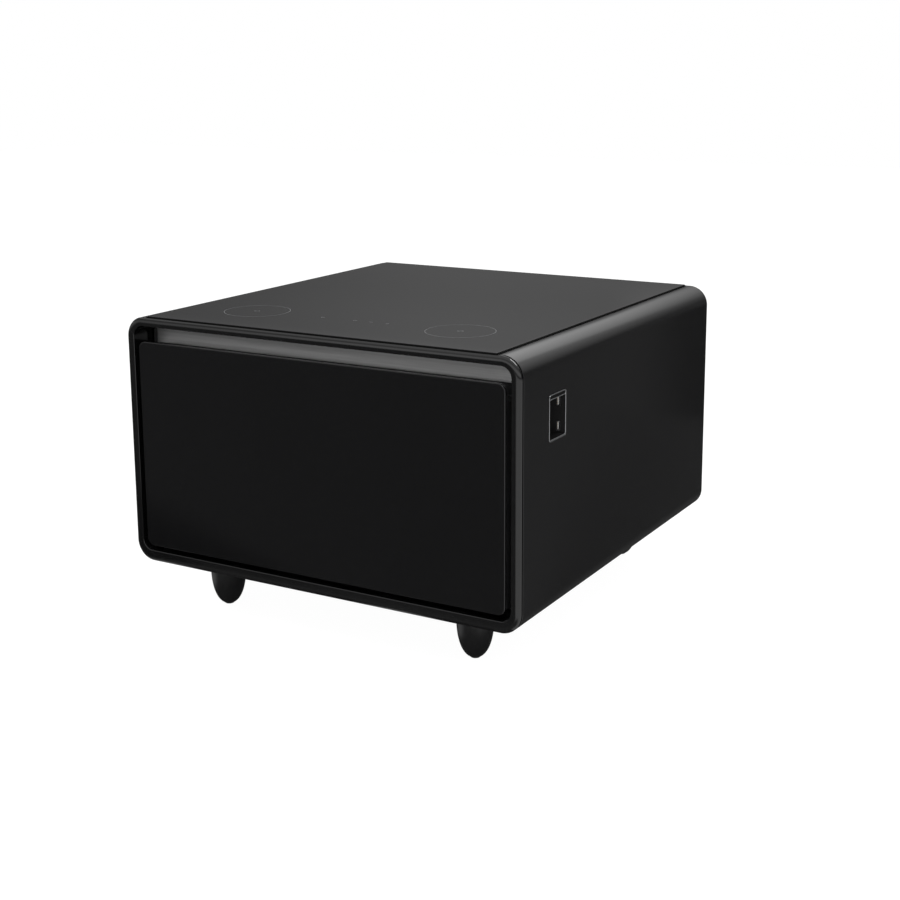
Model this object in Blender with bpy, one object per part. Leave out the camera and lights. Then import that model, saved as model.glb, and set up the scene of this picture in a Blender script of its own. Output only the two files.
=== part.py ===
"""A refrigerator coffee table: a rounded cabinet on four feet, with a glass top that has charging pads
under it, a glass-fronted drawer on telescopic slides, and the cooling machinery behind the drawer.
Metres, +Z up, front towards -Y, origin on the floor under the middle of the table."""

import math
from typing import NamedTuple

import bmesh
import bpy
from mathutils import Matrix, Vector

# Whole table
TABLE_WIDTH = 0.650
TABLE_DEPTH = 0.660
CABINET_HEIGHT = 0.371
CORNER_RADIUS = 0.030
SHELL_WALL = 0.003
SEAT_GAP = 0.0003
OVERRUN = 0.010
LARGE_STEPS = 10
SMALL_STEPS = 5

# Feet
FOOT_HEIGHT = 0.0765
FOOT_RADIUS = 0.0265
FOOT_TIP_HEIGHT = 0.060
FOOT_BLUNTNESS = 2.3
FOOT_FLAT_RADIUS = 0.0065
FOOT_SPIGOT_RADIUS = 0.009
FOOT_SIDE_INSET = 0.110
FOOT_END_INSET = 0.079
FOOT_STEPS = 10

# Front bezel
BEZEL_SIDE = 0.0137
BEZEL_BOTTOM = 0.0172
BEZEL_TOP = 0.0128
BEZEL_THICKNESS = 0.0062
BEZEL_EDGE_RADIUS = 0.0055
BEZEL_INNER_RADIUS = 0.016
BEZEL_INNER_CHAMFER = 0.0008
BEZEL_JOINT_GAP = 0.0008
SLEEVE_DEPTH = 0.054
SLEEVE_WALL = 0.0025
SLEEVE_RIB = 0.003
SLEEVE_POCKETS = 8

# Glass top
GLASS_THICKNESS = 0.005
GLASS_PROUD = 0.0025
GLASS_SHOULDER = 0.0070
GLASS_FRONT_INSET = 0.0045
GLASS_BACK_INSET = 0.0060
GLASS_GAP = 0.0010
GLASS_CORNER_RADIUS = 0.0012
GLASS_CHAMFER = 0.0005

# Drawer glass
PANEL_SIDE_MARGIN = 0.0222
PANEL_TOP_MARGIN = 0.0355
PANEL_BOTTOM_MARGIN = 0.0252
PANEL_RADIUS = 0.0114
PANEL_THICKNESS = 0.004
PANEL_CHAMFER = 0.0004

# Drawer front
FRAME_INSET = 0.0015
DRAWER_CLEARANCE = 0.002
GRIP_DEPTH = 0.0415
GRIP_LIP = 0.006
GRIP_FLOOR_DROP = 0.026
GRIP_FLOOR_RADIUS = 0.0025
STRIP_DROP = 0.0045
STRIP_THICKNESS = 0.0022
STRIP_HOLLOW = 0.0010
STRIP_SEAT = 0.0010
STRIP_END_MARGIN = 0.0012
DRAWER_FLANGE = 0.006
PLUG_CLEARANCE = 0.004
PLUG_DEPTH = 0.028
PLUG_RADIUS = 0.012
GASKET_FIT = 0.002
GASKET_WIDTH = 0.018
GASKET_GROOVE = 0.003

# Inner liner and insulation
LINER_STEP = 0.0229
LINER_TOP_STEP = 0.045
LINER_WALL = 0.002
LINER_RADIUS = 0.014
TRAY_HEIGHT = 0.0264
REAR_INSULATION = 0.035

# Back panel
PANEL_RECESS = 0.004
BACK_SHEET = 0.0015
VENT_LENGTH = 0.062
VENT_HEIGHT = 0.005
VENT_PITCH = 0.0125
VENT_ROWS = 7
VENT_COLUMN_PITCH = 0.074

# Top tray and what lies in it
TRAY_WALL = 0.002
TRAY_RIB = 0.002
TRAY_EDGE = 0.0016
TRAY_RIB_SHARES = (0.30, 0.55, 0.80)
CHARGER_SIDE = 0.1725
CHARGER_FRONT = 0.1155
CHARGER_RADIUS = 0.026
CHARGER_THICKNESS = 0.004
CHARGER_CORE_RADIUS = 0.009
CHARGER_GROOVE = 0.0012
CHARGER_TURNS = 3
POST_RADIUS = 0.012
TOUCH_BOARD_LENGTH = 0.150
TOUCH_BOARD_WIDTH = 0.030
TOUCH_BOARD_THICKNESS = 0.0016
TOUCH_POST_SHARE = 0.35
KEY_COUNT = 5
KEY_PITCH = 0.0275
KEY_RADIUS = 0.006
KEY_HEIGHT = 0.0012

# Drawer slides
SLIDE_HEIGHT = 0.045
SLIDE_THICKNESS = 0.0127
SLIDE_SHEET = 0.0012
SLIDE_RUN_GAP = 0.0004
SLIDE_START = 0.003
SLIDE_END = 0.004
SLIDE_HEIGHT_SHARE = 0.60

# Drawer basket
BASKET_LIFT = 0.012
BASKET_TOP_GAP = 0.075
BASKET_WALL = 0.0025
BASKET_CORNER_RADIUS = 0.018
BASKET_BACK_CLEARANCE = 0.008
BASKET_RIM = 0.0035
BASKET_RIM_HEIGHT = 0.008
FLOOR_RIB = 0.0025
FLOOR_RIB_HEIGHT = 0.002
FLOOR_RIBS = 6
DIVIDER_THICKNESS = 0.003
DIVIDER_SHARE = 0.55
DIVIDER_HEIGHT_SHARE = 0.75
GUIDE_WIDTH = 0.003
GUIDE_REACH = 0.004

# Light in the liner
LIGHT_LENGTH = 0.120
LIGHT_WIDTH = 0.016
LIGHT_THICKNESS = 0.005
LIGHT_SETBACK = 0.050

# Evaporator, its cover and its fan
EVAPORATOR_PIPE_GAP = 0.017
EVAPORATOR_TOP_GAP = 0.056
EVAPORATOR_LOW = 0.040
EVAPORATOR_SHEET = 0.0015
EVAPORATOR_TUBE = 0.0035
EVAPORATOR_TUBE_SHARE = 0.75
EVAPORATOR_PASSES = 5
EVAPORATOR_END = 0.024
COVER_PIPE_GAP = 0.013
COVER_TOP_GAP = 0.029
COVER_LOW = 0.018
COVER_DEPTH = 0.036
COVER_WALL = 0.002
COVER_SLOT_HEIGHT = 0.005
COVER_SLOT_LENGTH = 0.044
COVER_SLOT_PITCH = 0.054
COVER_SLOT_ROWS = 2
COVER_SLOT_COLUMNS = 5
COVER_SLOT_ROW_PITCH = 0.012
COVER_SLOT_LOW = 0.018
COVER_SPOKES = 6
COVER_SPOKE_SHARE = 0.72
SMALL_FAN_SIZE = 0.092
SMALL_FAN_DEPTH = 0.020
SMALL_FAN_TOP = 0.012

# Machinery
MACHINE_SHEET = 0.0015
MACHINE_LIP = 0.010
MACHINE_MARGIN = 0.005
MACHINE_CLEARANCE = 0.017
PIPE_SIDE = 0.172
PIPE_HOLE_RADIUS = 0.0065
COMPRESSOR_RADIUS = 0.058
COMPRESSOR_HEIGHT = 0.158
COMPRESSOR_CROWN = 0.034
POT_FOOT_SHARE = 0.88
POT_CROWN_SHARE = 0.12
WELD_RIM = 0.003
WELD_RIM_HEIGHT = 0.006
WELD_HEIGHT_SHARE = 0.55
COMPRESSOR_PLATE = 0.0025
GROMMET_RADIUS = 0.011
GROMMET_HEIGHT = 0.012
GROMMET_WAIST_SHARE = 0.8
GROMMET_BEAD_SHARE = 0.3
GROMMET_SPACING = 0.098
TERMINAL_WIDTH = 0.040
TERMINAL_HEIGHT = 0.044
TERMINAL_DEPTH = 0.022
TERMINAL_SEAT_SHARE = 0.8
DRIP_LENGTH = 0.130
DRIP_WIDTH = 0.104
DRIP_HEIGHT = 0.020
DRIP_WALL = 0.0018
LARGE_FAN_SIZE = 0.120
LARGE_FAN_DEPTH = 0.025
FAN_FROM_COMPRESSOR = 0.042
FAN_TO_CONDENSER = 0.012
FAN_WALL = 0.0025
FAN_TIP_GAP = 0.002
FAN_HUB_SHARE = 0.37
FAN_SPINDLE = 0.004
FAN_STRUT = 0.005
FAN_CUP = 0.003
FAN_BLADE = 0.0020
FAN_BLADES = 7
FAN_SECTIONS = 5
FAN_ROOT_SHARE = 0.8
FAN_CHORD_SHARE = 0.9
FAN_ROOT_PITCH = math.radians(46)
FAN_TIP_PITCH = math.radians(34)
FAN_SWEEP = 0.25
FAN_SECTION_SHARES = ((-0.5, 0.0), (-0.15, 0.5), (0.5, 0.0), (-0.15, -0.5))
FAN_CORNER_RADIUS = 0.006
FAN_SCREW_RADIUS = 0.0022
FAN_RUN_GAP = 0.0004
CONDENSER_LENGTH = 0.096
CONDENSER_HEIGHT = 0.104
FIN_COUNT = 9
FIN_PITCH = 0.011
FIN_THICKNESS = 0.0008
CONDENSER_TUBE = 0.0035
CONDENSER_PASSES = 5
PASS_PITCH = 0.020
STUB_LENGTH = 0.016
DRIER_LENGTH = 0.060
DRIER_RADIUS = 0.009
DRIER_NECK = 0.010
CAPILLARY_RADIUS = 0.0016
SUCTION_RADIUS = 0.004
DISCHARGE_RADIUS = 0.003
PIPE_BEND = 0.006
SUCTION_SETBACK = 0.0095
SUCTION_HEIGHT = 0.055
DISCHARGE_HEIGHT = 0.085
DISCHARGE_REACH = 0.015
DISCHARGE_RISE = 0.020
SUPPLY_LENGTH = 0.116
SUPPLY_WIDTH = 0.090
SUPPLY_HEIGHT = 0.042
SUPPLY_SIDE_GAP = 0.008
SUPPLY_BACK_GAP = 0.010
SUPPLY_FIN = 0.002
SUPPLY_FIN_HEIGHT = 0.005
SUPPLY_FINS = 8
BOARD_LENGTH = 0.110
BOARD_HEIGHT = 0.090
BOARD_THICKNESS = 0.0016
BOARD_STANDOFF = 0.007
BOARD_POST_RADIUS = 0.003
BOARD_LIFT = 0.030
BOARD_POST_SHARE = 0.44
CAPACITOR_RADIUS = 0.008
CAPACITOR_HEIGHT = 0.018
CAPACITOR_SHARES = (-0.25, 0.0)
RELAY_LENGTH = 0.024
RELAY_WIDTH = 0.016
RELAY_HEIGHT = 0.014
RELAY_SHARES = (-0.25, 0.05)

# Power inlet
INLET_WIDTH = 0.048
INLET_HEIGHT = 0.030
INLET_FLANGE = 0.0025
INLET_BODY_WIDTH = 0.030
INLET_BODY_HEIGHT = 0.024
INLET_DEPTH = 0.026
INLET_SOCKET_WIDTH = 0.0245
INLET_SOCKET_HEIGHT = 0.0170
INLET_SOCKET_DEPTH = 0.017
INLET_SIDE_MARGIN = 0.075
INLET_LIFT = 0.066
PIN_WIDTH = 0.002
PIN_HEIGHT = 0.004
PIN_LENGTH = 0.013
PIN_PITCH = 0.007
PIN_DROP = 0.002

# Charge ports in the right side
HOUSING_FRONT = 0.0820
HOUSING_WIDTH = 0.0500
HOUSING_TOP_MARGIN = 0.0648
HOUSING_HEIGHT = 0.0635
HOUSING_RADIUS = 0.004
HOUSING_DEPTH = 0.0285
HOUSING_GAP = 0.0005
HOUSING_EDGE = 0.0008
NICHE_SIDE = 0.0022
NICHE_BOTTOM = 0.0024
NICHE_TOP = 0.0060
NICHE_DEEP = 0.0180
NICHE_SHALLOW = 0.0015
NICHE_RUN = 0.0095
PORT_HEIGHT = 0.0131
PORT_WIDTH = 0.0057
PORT_LENGTH = 0.0120
PORT_SHEET = 0.0004
PORT_TONGUE = 0.0018
PORT_TONGUE_HEIGHT = 0.0105
PORT_BACK = 0.002
PORT_REACH = 0.0040
UPPER_PORT_DROP = 0.0166
LOWER_PORT_DROP = 0.0506
PORT_ROOM_REACH = 0.0078

# Finishes: colour, roughness, metallic
GLOSS_BLACK = ((0.012, 0.012, 0.013), 0.25, 0.0)
SATIN_BLACK = ((0.015, 0.015, 0.016), 0.35, 0.0)
BLACK_GLASS = ((0.020, 0.020, 0.021), 0.10, 0.0)
SATIN_ALUMINIUM = ((0.42, 0.42, 0.43), 0.35, 1.0)
WHITE_PLASTIC = ((0.78, 0.79, 0.80), 0.45, 0.0)
FOAM = ((0.85, 0.78, 0.55), 0.9, 0.0)
GREY_RUBBER = ((0.10, 0.10, 0.10), 0.8, 0.0)
ZINC_STEEL = ((0.55, 0.56, 0.58), 0.4, 1.0)
COPPER = ((0.72, 0.38, 0.25), 0.35, 1.0)
GREEN_BOARD = ((0.03, 0.16, 0.07), 0.5, 0.0)
DARK_PLASTIC = ((0.02, 0.02, 0.02), 0.5, 0.0)
CLEAR_LENS = ((0.85, 0.88, 0.90), 0.2, 0.0)


class Patch(NamedTuple):
    """A rounded rectangle in one of the main planes."""

    left: float
    low: float
    right: float
    high: float
    radius: float

    def grown(self, amount):
        return Patch(
            self.left - amount,
            self.low - amount,
            self.right + amount,
            self.high + amount,
            max(self.radius + amount, 0.0),
        )

    def outline(self, steps=SMALL_STEPS):
        """The corners in turn, as arcs with a set number of points, anticlockwise from the right."""
        if self.radius <= 0.0:
            return [(self.right, self.high), (self.left, self.high), (self.left, self.low), (self.right, self.low)]
        across = (self.right - self.radius, self.left + self.radius)
        up = (self.high - self.radius, self.low + self.radius)
        centres = ((across[0], up[0]), (across[1], up[0]), (across[1], up[1]), (across[0], up[1]))
        points = []
        for quarter, centre in enumerate(centres):
            for step in range(steps + 1):
                angle = (quarter + step / steps) * math.pi / 2
                points.append(
                    (centre[0] + self.radius * math.cos(angle), centre[1] + self.radius * math.sin(angle))
                )
        return points


# Places that several pieces share
HALF_WIDTH = TABLE_WIDTH / 2
FRONT = -TABLE_DEPTH / 2
BACK = TABLE_DEPTH / 2
BASE = FOOT_HEIGHT
TOP = BASE + CABINET_HEIGHT
CABINET = Patch(-HALF_WIDTH, BASE, HALF_WIDTH, TOP, CORNER_RADIUS)
INSIDE = CABINET.grown(-SHELL_WALL - SEAT_GAP)
APERTURE = Patch(
    -HALF_WIDTH + BEZEL_SIDE, BASE + BEZEL_BOTTOM, HALF_WIDTH - BEZEL_SIDE, TOP - BEZEL_TOP, BEZEL_INNER_RADIUS
)
PANEL = Patch(
    -HALF_WIDTH + PANEL_SIDE_MARGIN,
    BASE + PANEL_BOTTOM_MARGIN,
    HALF_WIDTH - PANEL_SIDE_MARGIN,
    TOP - PANEL_TOP_MARGIN,
    PANEL_RADIUS,
)
MOUTH = Patch(
    APERTURE.left + LINER_STEP,
    APERTURE.low + LINER_STEP,
    APERTURE.right - LINER_STEP,
    APERTURE.high - LINER_TOP_STEP,
    LINER_RADIUS,
)
SLEEVE = APERTURE.grown(SLEEVE_WALL)
GLASS_HALF = HALF_WIDTH - CORNER_RADIUS - GLASS_SHOULDER
GLASS = Patch(-GLASS_HALF, FRONT + GLASS_FRONT_INSET, GLASS_HALF, BACK - GLASS_BACK_INSET, GLASS_CORNER_RADIUS)
GLASS_TOP = TOP + GLASS_PROUD
GLASS_UNDERSIDE = GLASS_TOP - GLASS_THICKNESS
TRAY_BASE = GLASS_UNDERSIDE - SEAT_GAP - TRAY_HEIGHT
FOAM_TOP = TRAY_BASE - SEAT_GAP
SLEEVE_BACK = FRONT + SLEEVE_DEPTH
LINER_FRONT = SLEEVE_BACK + SEAT_GAP
TRAY_FRONT = LINER_FRONT + LINER_WALL + SEAT_GAP
BACK_PANEL_OUTSIDE = BACK - PANEL_RECESS
BACK_PANEL_INSIDE = BACK_PANEL_OUTSIDE - BACK_SHEET
MACHINE_DEPTH = 2 * (COMPRESSOR_RADIUS + MACHINE_CLEARANCE)
FOAM_BACK = BACK_PANEL_INSIDE - MACHINE_DEPTH
LINER_BACK = FOAM_BACK - REAR_INSULATION
LINER_WALL_FRONT = LINER_BACK - LINER_WALL
MACHINE_MIDDLE = (FOAM_BACK + BACK_PANEL_INSIDE) / 2
MACHINE_FLOOR = BASE + SHELL_WALL + SEAT_GAP + MACHINE_SHEET
GRIP_PLANE = FRONT + GRIP_DEPTH
FLANGE_BACK = GRIP_PLANE + DRAWER_FLANGE
PLUG = MOUTH.grown(-PLUG_CLEARANCE)._replace(radius=PLUG_RADIUS)
PLUG_BACK = FLANGE_BACK + SEAT_GAP + PLUG_DEPTH
SLIDE_MIDDLE = MOUTH.low + SLIDE_HEIGHT_SHARE * (MOUTH.high - MOUTH.low)
SLIDE_FRONT = PLUG_BACK + SLIDE_START
SLIDE_BACK = LINER_WALL_FRONT - SLIDE_END
BASKET_HALF = MOUTH.right - SEAT_GAP - SLIDE_THICKNESS - SEAT_GAP
BASKET_HEIGHT = MOUTH.high - BASKET_TOP_GAP - MOUTH.low - BASKET_LIFT
COVER_FRONT = LINER_WALL_FRONT - SEAT_GAP - COVER_DEPTH
COVER = Patch(
    -PIPE_SIDE - COVER_PIPE_GAP,
    MOUTH.low + COVER_LOW,
    PIPE_SIDE + COVER_PIPE_GAP,
    MOUTH.high - COVER_TOP_GAP,
    LINER_RADIUS,
)
EVAPORATOR_PLATE_FRONT = LINER_WALL_FRONT - SEAT_GAP - EVAPORATOR_SHEET
EVAPORATOR_LINE = EVAPORATOR_PLATE_FRONT - EVAPORATOR_TUBE_SHARE * EVAPORATOR_TUBE
EVAPORATOR_WIDTH = 2 * (PIPE_SIDE - EVAPORATOR_PIPE_GAP)
EVAPORATOR_FLOOR = MOUTH.low + EVAPORATOR_LOW
EVAPORATOR_HEIGHT = COVER.high - COVER_WALL - EVAPORATOR_TOP_GAP - EVAPORATOR_FLOOR
EVAPORATOR_PITCH = EVAPORATOR_HEIGHT / EVAPORATOR_PASSES
EVAPORATOR_FIRST = EVAPORATOR_FLOOR + EVAPORATOR_PITCH / 2
EVAPORATOR_LAST = EVAPORATOR_FIRST + EVAPORATOR_PITCH * (EVAPORATOR_PASSES - 1)
SMALL_FAN_HEIGHT = COVER.high - COVER_WALL - SMALL_FAN_TOP - SMALL_FAN_SIZE / 2
SMALL_FAN_MIDDLE = COVER_FRONT + COVER_WALL + SEAT_GAP + SMALL_FAN_DEPTH / 2
COMPRESSOR_FOOT = MACHINE_FLOOR + SEAT_GAP + GROMMET_HEIGHT + SEAT_GAP
COMPRESSOR_BASE = COMPRESSOR_FOOT + COMPRESSOR_PLATE
COMPRESSOR_TOP = COMPRESSOR_FOOT + COMPRESSOR_HEIGHT
LARGE_FAN_ACROSS = PIPE_SIDE - COMPRESSOR_RADIUS - FAN_FROM_COMPRESSOR
LARGE_FAN_HEIGHT = MACHINE_FLOOR + SEAT_GAP + LARGE_FAN_SIZE / 2
CONDENSER_RIGHT = LARGE_FAN_ACROSS - LARGE_FAN_DEPTH / 2 - FAN_TO_CONDENSER
CONDENSER_ACROSS = CONDENSER_RIGHT - CONDENSER_LENGTH / 2
CONDENSER_FLOOR = MACHINE_FLOOR + SEAT_GAP
FIN_SPAN = FIN_PITCH * (FIN_COUNT - 1)
CONDENSER_FIRST = CONDENSER_FLOOR + (CONDENSER_HEIGHT - PASS_PITCH * (CONDENSER_PASSES - 1)) / 2
CONDENSER_LAST = CONDENSER_FIRST + PASS_PITCH * (CONDENSER_PASSES - 1)
TURN_NEAR = MACHINE_MIDDLE - FIN_SPAN / 2 - PASS_PITCH / 2
TURN_FAR = MACHINE_MIDDLE + FIN_SPAN / 2 + PASS_PITCH / 2
DRIER_START = CONDENSER_ACROSS - CONDENSER_LENGTH / 2 - SEAT_GAP
HOUSING = Patch(
    FRONT + HOUSING_FRONT,
    TOP - HOUSING_TOP_MARGIN - HOUSING_HEIGHT,
    FRONT + HOUSING_FRONT + HOUSING_WIDTH,
    TOP - HOUSING_TOP_MARGIN,
    HOUSING_RADIUS,
)
PORT_PLACE = HOUSING.right - NICHE_SIDE - PORT_REACH
PORT_ROOM = HOUSING.grown(-NICHE_SIDE)._replace(left=PORT_PLACE, right=HOUSING.right + PORT_ROOM_REACH)
PORT_ROOM_DEPTH = HOUSING_DEPTH - NICHE_SIDE
INLET_MIDDLE = (-HALF_WIDTH + INLET_SIDE_MARGIN, BASE + INLET_LIFT)


def clear_scene():
    for item in list(bpy.data.objects):
        bpy.data.objects.remove(item, do_unlink=True)


def finish(item, look):
    """Gives the object a material of its own."""
    colour, roughness, metallic = look
    material = bpy.data.materials.new(item.name)
    material.use_nodes = True
    shader = material.node_tree.nodes["Principled BSDF"]
    shader.inputs["Base Color"].default_value = (*colour, 1.0)
    shader.inputs["Roughness"].default_value = roughness
    shader.inputs["Metallic"].default_value = metallic
    item.data.materials.append(material)


def face_out(bm):
    """Turns the faces of one closed shape outwards."""
    if bm.calc_volume(signed=True) < 0.0:
        bmesh.ops.reverse_faces(bm, faces=bm.faces)


def solid(name, bm, look=None, origin=None, smooth=False):
    """Turns a closed bmesh into an object whose origin is the middle of its box, or the place given."""
    face_out(bm)
    lows = [min(vert.co[axis] for vert in bm.verts) for axis in range(3)]
    highs = [max(vert.co[axis] for vert in bm.verts) for axis in range(3)]
    place = Vector(origin) if origin is not None else (Vector(lows) + Vector(highs)) / 2
    bmesh.ops.translate(bm, verts=bm.verts, vec=-place)
    mesh = bpy.data.meshes.new(name)
    bm.to_mesh(mesh)
    bm.free()
    if smooth:
        mesh.shade_smooth()
        mesh.set_sharp_from_angle(angle=math.radians(35))
    item = bpy.data.objects.new(name, mesh)
    item.location = place
    bpy.context.scene.collection.objects.link(item)
    if look:
        finish(item, look)
    return item


def hidden(item):
    """Marks a cutter or an addition, which shows only through the Boolean that uses it."""
    item.hide_render = True
    item.display_type = "WIRE"
    return item


def combine(item, operation, others):
    for other in others:
        hidden(other)
        change = item.modifiers.new(other.name, "BOOLEAN")
        change.operation = operation
        change.solver = "EXACT"
        change.object = other
    return item


def cut(item, *others):
    return combine(item, "DIFFERENCE", others)


def add(item, *others):
    return combine(item, "UNION", others)


def in_plane(axis, points, level):
    """Lifts flat points into space: X takes (y, z), Y takes (x, z) and Z takes (x, y)."""
    if axis == "X":
        return [(level, u, v) for u, v in points]
    if axis == "Y":
        return [(u, level, v) for u, v in points]
    return [(u, v, level) for u, v in points]


def skin(rings):
    """A closed bmesh through rings of equally many points, with both ends capped."""
    bm = bmesh.new()
    loops = [[bm.verts.new(point) for point in ring] for ring in rings]
    for near, far in zip(loops, loops[1:]):
        for here in range(len(near)):
            after = (here + 1) % len(near)
            bm.faces.new((near[here], near[after], far[after], far[here]))
    bm.faces.new(list(reversed(loops[0])))
    bm.faces.new(loops[-1])
    return bm


def loft(name, axis, sections, look=None, steps=SMALL_STEPS, **options):
    """A solid through patches, each at its own level along the axis."""
    rings = [in_plane(axis, patch.outline(steps), level) for patch, level in sections]
    return solid(name, skin(rings), look, **options)


def prism(name, axis, outline, start, end, look=None, **options):
    """A flat outline, or a patch, drawn out along the axis."""
    points = outline.outline() if isinstance(outline, Patch) else outline
    return solid(name, skin([in_plane(axis, points, start), in_plane(axis, points, end)]), look, **options)


def box(name, low, high, look=None, **options):
    outline = [(low[0], low[1]), (high[0], low[1]), (high[0], high[1]), (low[0], high[1])]
    return prism(name, "Z", outline, low[2], high[2], look, **options)


def several(name, solids_rings):
    """One object that holds several closed shapes, for a Boolean that takes them all at once."""
    bm = bmesh.new()
    for rings in solids_rings:
        piece = skin(rings)
        mesh = bpy.data.meshes.new(name)
        face_out(piece)
        piece.to_mesh(mesh)
        piece.free()
        bm.from_mesh(mesh)
        bpy.data.meshes.remove(mesh)
    return solid(name, bm)


def circle(radius, sides, centre=(0.0, 0.0)):
    return [
        (
            centre[0] + radius * math.cos(2 * math.pi * side / sides),
            centre[1] + radius * math.sin(2 * math.pi * side / sides),
        )
        for side in range(sides)
    ]


def slot_outline(x, z, length, height, steps=3):
    """A level slot with round ends."""
    reach = (length - height) / 2
    points = []
    for end in (0, 1):
        for step in range(steps + 1):
            angle = math.pi * (end + step / steps) - math.pi / 2
            points.append((x + (1 - 2 * end) * reach + height / 2 * math.cos(angle), z + height / 2 * math.sin(angle)))
    return points


def cylinder(name, axis, centre, radius, start, end, look=None, sides=24, **options):
    return prism(name, axis, circle(radius, sides, centre), start, end, look, **options)


def turned(name, profile, centre, look=None, sides=32, **options):
    """A profile of (radius, height) turned about an upright axis, with a flat at each end."""
    rings = [
        [(centre[0] + x, centre[1] + y, height) for x, y in circle(radius, sides)] for radius, height in profile
    ]
    return solid(name, skin(rings), look, smooth=True, **options)


def rounded_route(corners, bend, steps=4):
    """The route through the corners, each one turned by an arc."""
    corners = [Vector(corner) for corner in corners]
    route = [corners[0]]
    for before, corner, after in zip(corners, corners[1:], corners[2:]):
        into = (corner - before).normalized()
        out = (after - corner).normalized()
        turn = into.angle(out)
        back = bend * math.tan(turn / 2)
        start = corner - into * back
        inward = (out - into * into.dot(out)).normalized()
        middle = start + inward * bend
        for step in range(steps + 1):
            angle = turn * step / steps
            point = middle - inward * bend * math.cos(angle) + into * bend * math.sin(angle)
            if (point - route[-1]).length > SEAT_GAP:
                route.append(point)
    route.append(corners[-1])
    return route


def tube_rings(route, radius, sides):
    """Rings square to the route, carried along it without twist."""
    rings = []
    side = None
    steps = [(after - before).normalized() for before, after in zip(route, route[1:])]
    for here, point in enumerate(route):
        along = (steps[max(here - 1, 0)] + steps[min(here, len(steps) - 1)]).normalized()
        if side is None:
            side = along.orthogonal().normalized()
        side = (side - along * side.dot(along)).normalized()
        across = along.cross(side)
        rings.append([tuple(point + side * x + across * y) for x, y in circle(radius, sides)])
    return rings


def pipe(name, corners, radius, look, bend=None):
    """A bent pipe as a curve with a round section and closed ends."""
    route = rounded_route(corners, bend or PIPE_BEND)
    data = bpy.data.curves.new(name, "CURVE")
    data.dimensions = "3D"
    data.bevel_depth = radius
    data.bevel_resolution = 2
    data.use_fill_caps = True
    spline = data.splines.new("POLY")
    spline.points.add(len(route) - 1)
    origin = route[0]
    for point, place in zip(spline.points, route):
        point.co = (*(place - origin), 1.0)
    item = bpy.data.objects.new(name, data)
    item.location = origin
    bpy.context.scene.collection.objects.link(item)
    finish(item, look)
    return item


def carry(name, place, *children):
    """Puts the children on an empty at the place where their joint acts."""
    empty = bpy.data.objects.new(name, None)
    empty.location = place
    bpy.context.scene.collection.objects.link(empty)
    for child in children:
        child.parent = empty
        child.matrix_parent_inverse = Matrix.Translation(place).inverted()
    return empty


def turn_about(item, place, rotation):
    """Turns an object that was made with its axis along Z at the origin, and puts it in place."""
    item.matrix_world = Matrix.Translation(place) @ rotation
    return item


def make_feet():
    """Four bullet feet: a blunt tip, cut flat where it stands, straight above, with a spigot into the cabinet."""
    profile = []
    for step in range(FOOT_STEPS + 1):
        angle = math.pi / 2 * step / FOOT_STEPS
        radius = FOOT_RADIUS * math.sin(angle) ** (2 / FOOT_BLUNTNESS)
        drop = max(math.cos(angle), 0.0) ** (2 / FOOT_BLUNTNESS)
        if radius > FOOT_FLAT_RADIUS:
            profile.append((radius, FOOT_TIP_HEIGHT * (1 - drop)))
    profile.insert(0, (FOOT_FLAT_RADIUS, 0.0))
    profile.append((FOOT_RADIUS, BASE - SEAT_GAP))
    profile.append((FOOT_SPIGOT_RADIUS, BASE - SEAT_GAP))
    profile.append((FOOT_SPIGOT_RADIUS, BASE + SHELL_WALL - SEAT_GAP))
    for row, y in (("front", FRONT + FOOT_END_INSET), ("rear", BACK - FOOT_END_INSET)):
        for side, sign in (("left", -1), ("right", 1)):
            x = sign * (HALF_WIDTH - FOOT_SIDE_INSET)
            turned(f"foot_{row}_{side}", profile, (x, y), SATIN_BLACK, sides=24)


def make_outer_shell():
    """One wrap of sheet, open at both ends and over the glass."""
    start = FRONT + BEZEL_THICKNESS + BEZEL_JOINT_GAP
    shell = loft("outer_shell", "Y", [(CABINET, start), (CABINET, BACK)], SATIN_BLACK, LARGE_STEPS, smooth=True)
    inside = CABINET.grown(-SHELL_WALL)
    hollow = loft("shell_hollow", "Y", [(inside, start - OVERRUN), (inside, BACK + OVERRUN)], steps=LARGE_STEPS)
    opening = box(
        "shell_top_opening",
        (-GLASS_HALF - GLASS_GAP, start - OVERRUN, TOP - CORNER_RADIUS),
        (GLASS_HALF + GLASS_GAP, GLASS.high + GLASS_GAP, TOP + OVERRUN),
    )
    window = prism(
        "shell_port_window", "X", HOUSING.grown(HOUSING_GAP), HALF_WIDTH - CORNER_RADIUS, HALF_WIDTH + OVERRUN
    )
    holes = []
    for y in (FRONT + FOOT_END_INSET, BACK - FOOT_END_INSET):
        for sign in (-1, 1):
            centre = (sign * (HALF_WIDTH - FOOT_SIDE_INSET), y)
            ring = circle(FOOT_SPIGOT_RADIUS + SEAT_GAP, 24, centre)
            holes.append(
                [in_plane("Z", ring, BASE - OVERRUN), in_plane("Z", ring, BASE + SHELL_WALL + OVERRUN)]
            )
    cut(shell, hollow, opening, window, several("shell_foot_holes", holes))


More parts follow.
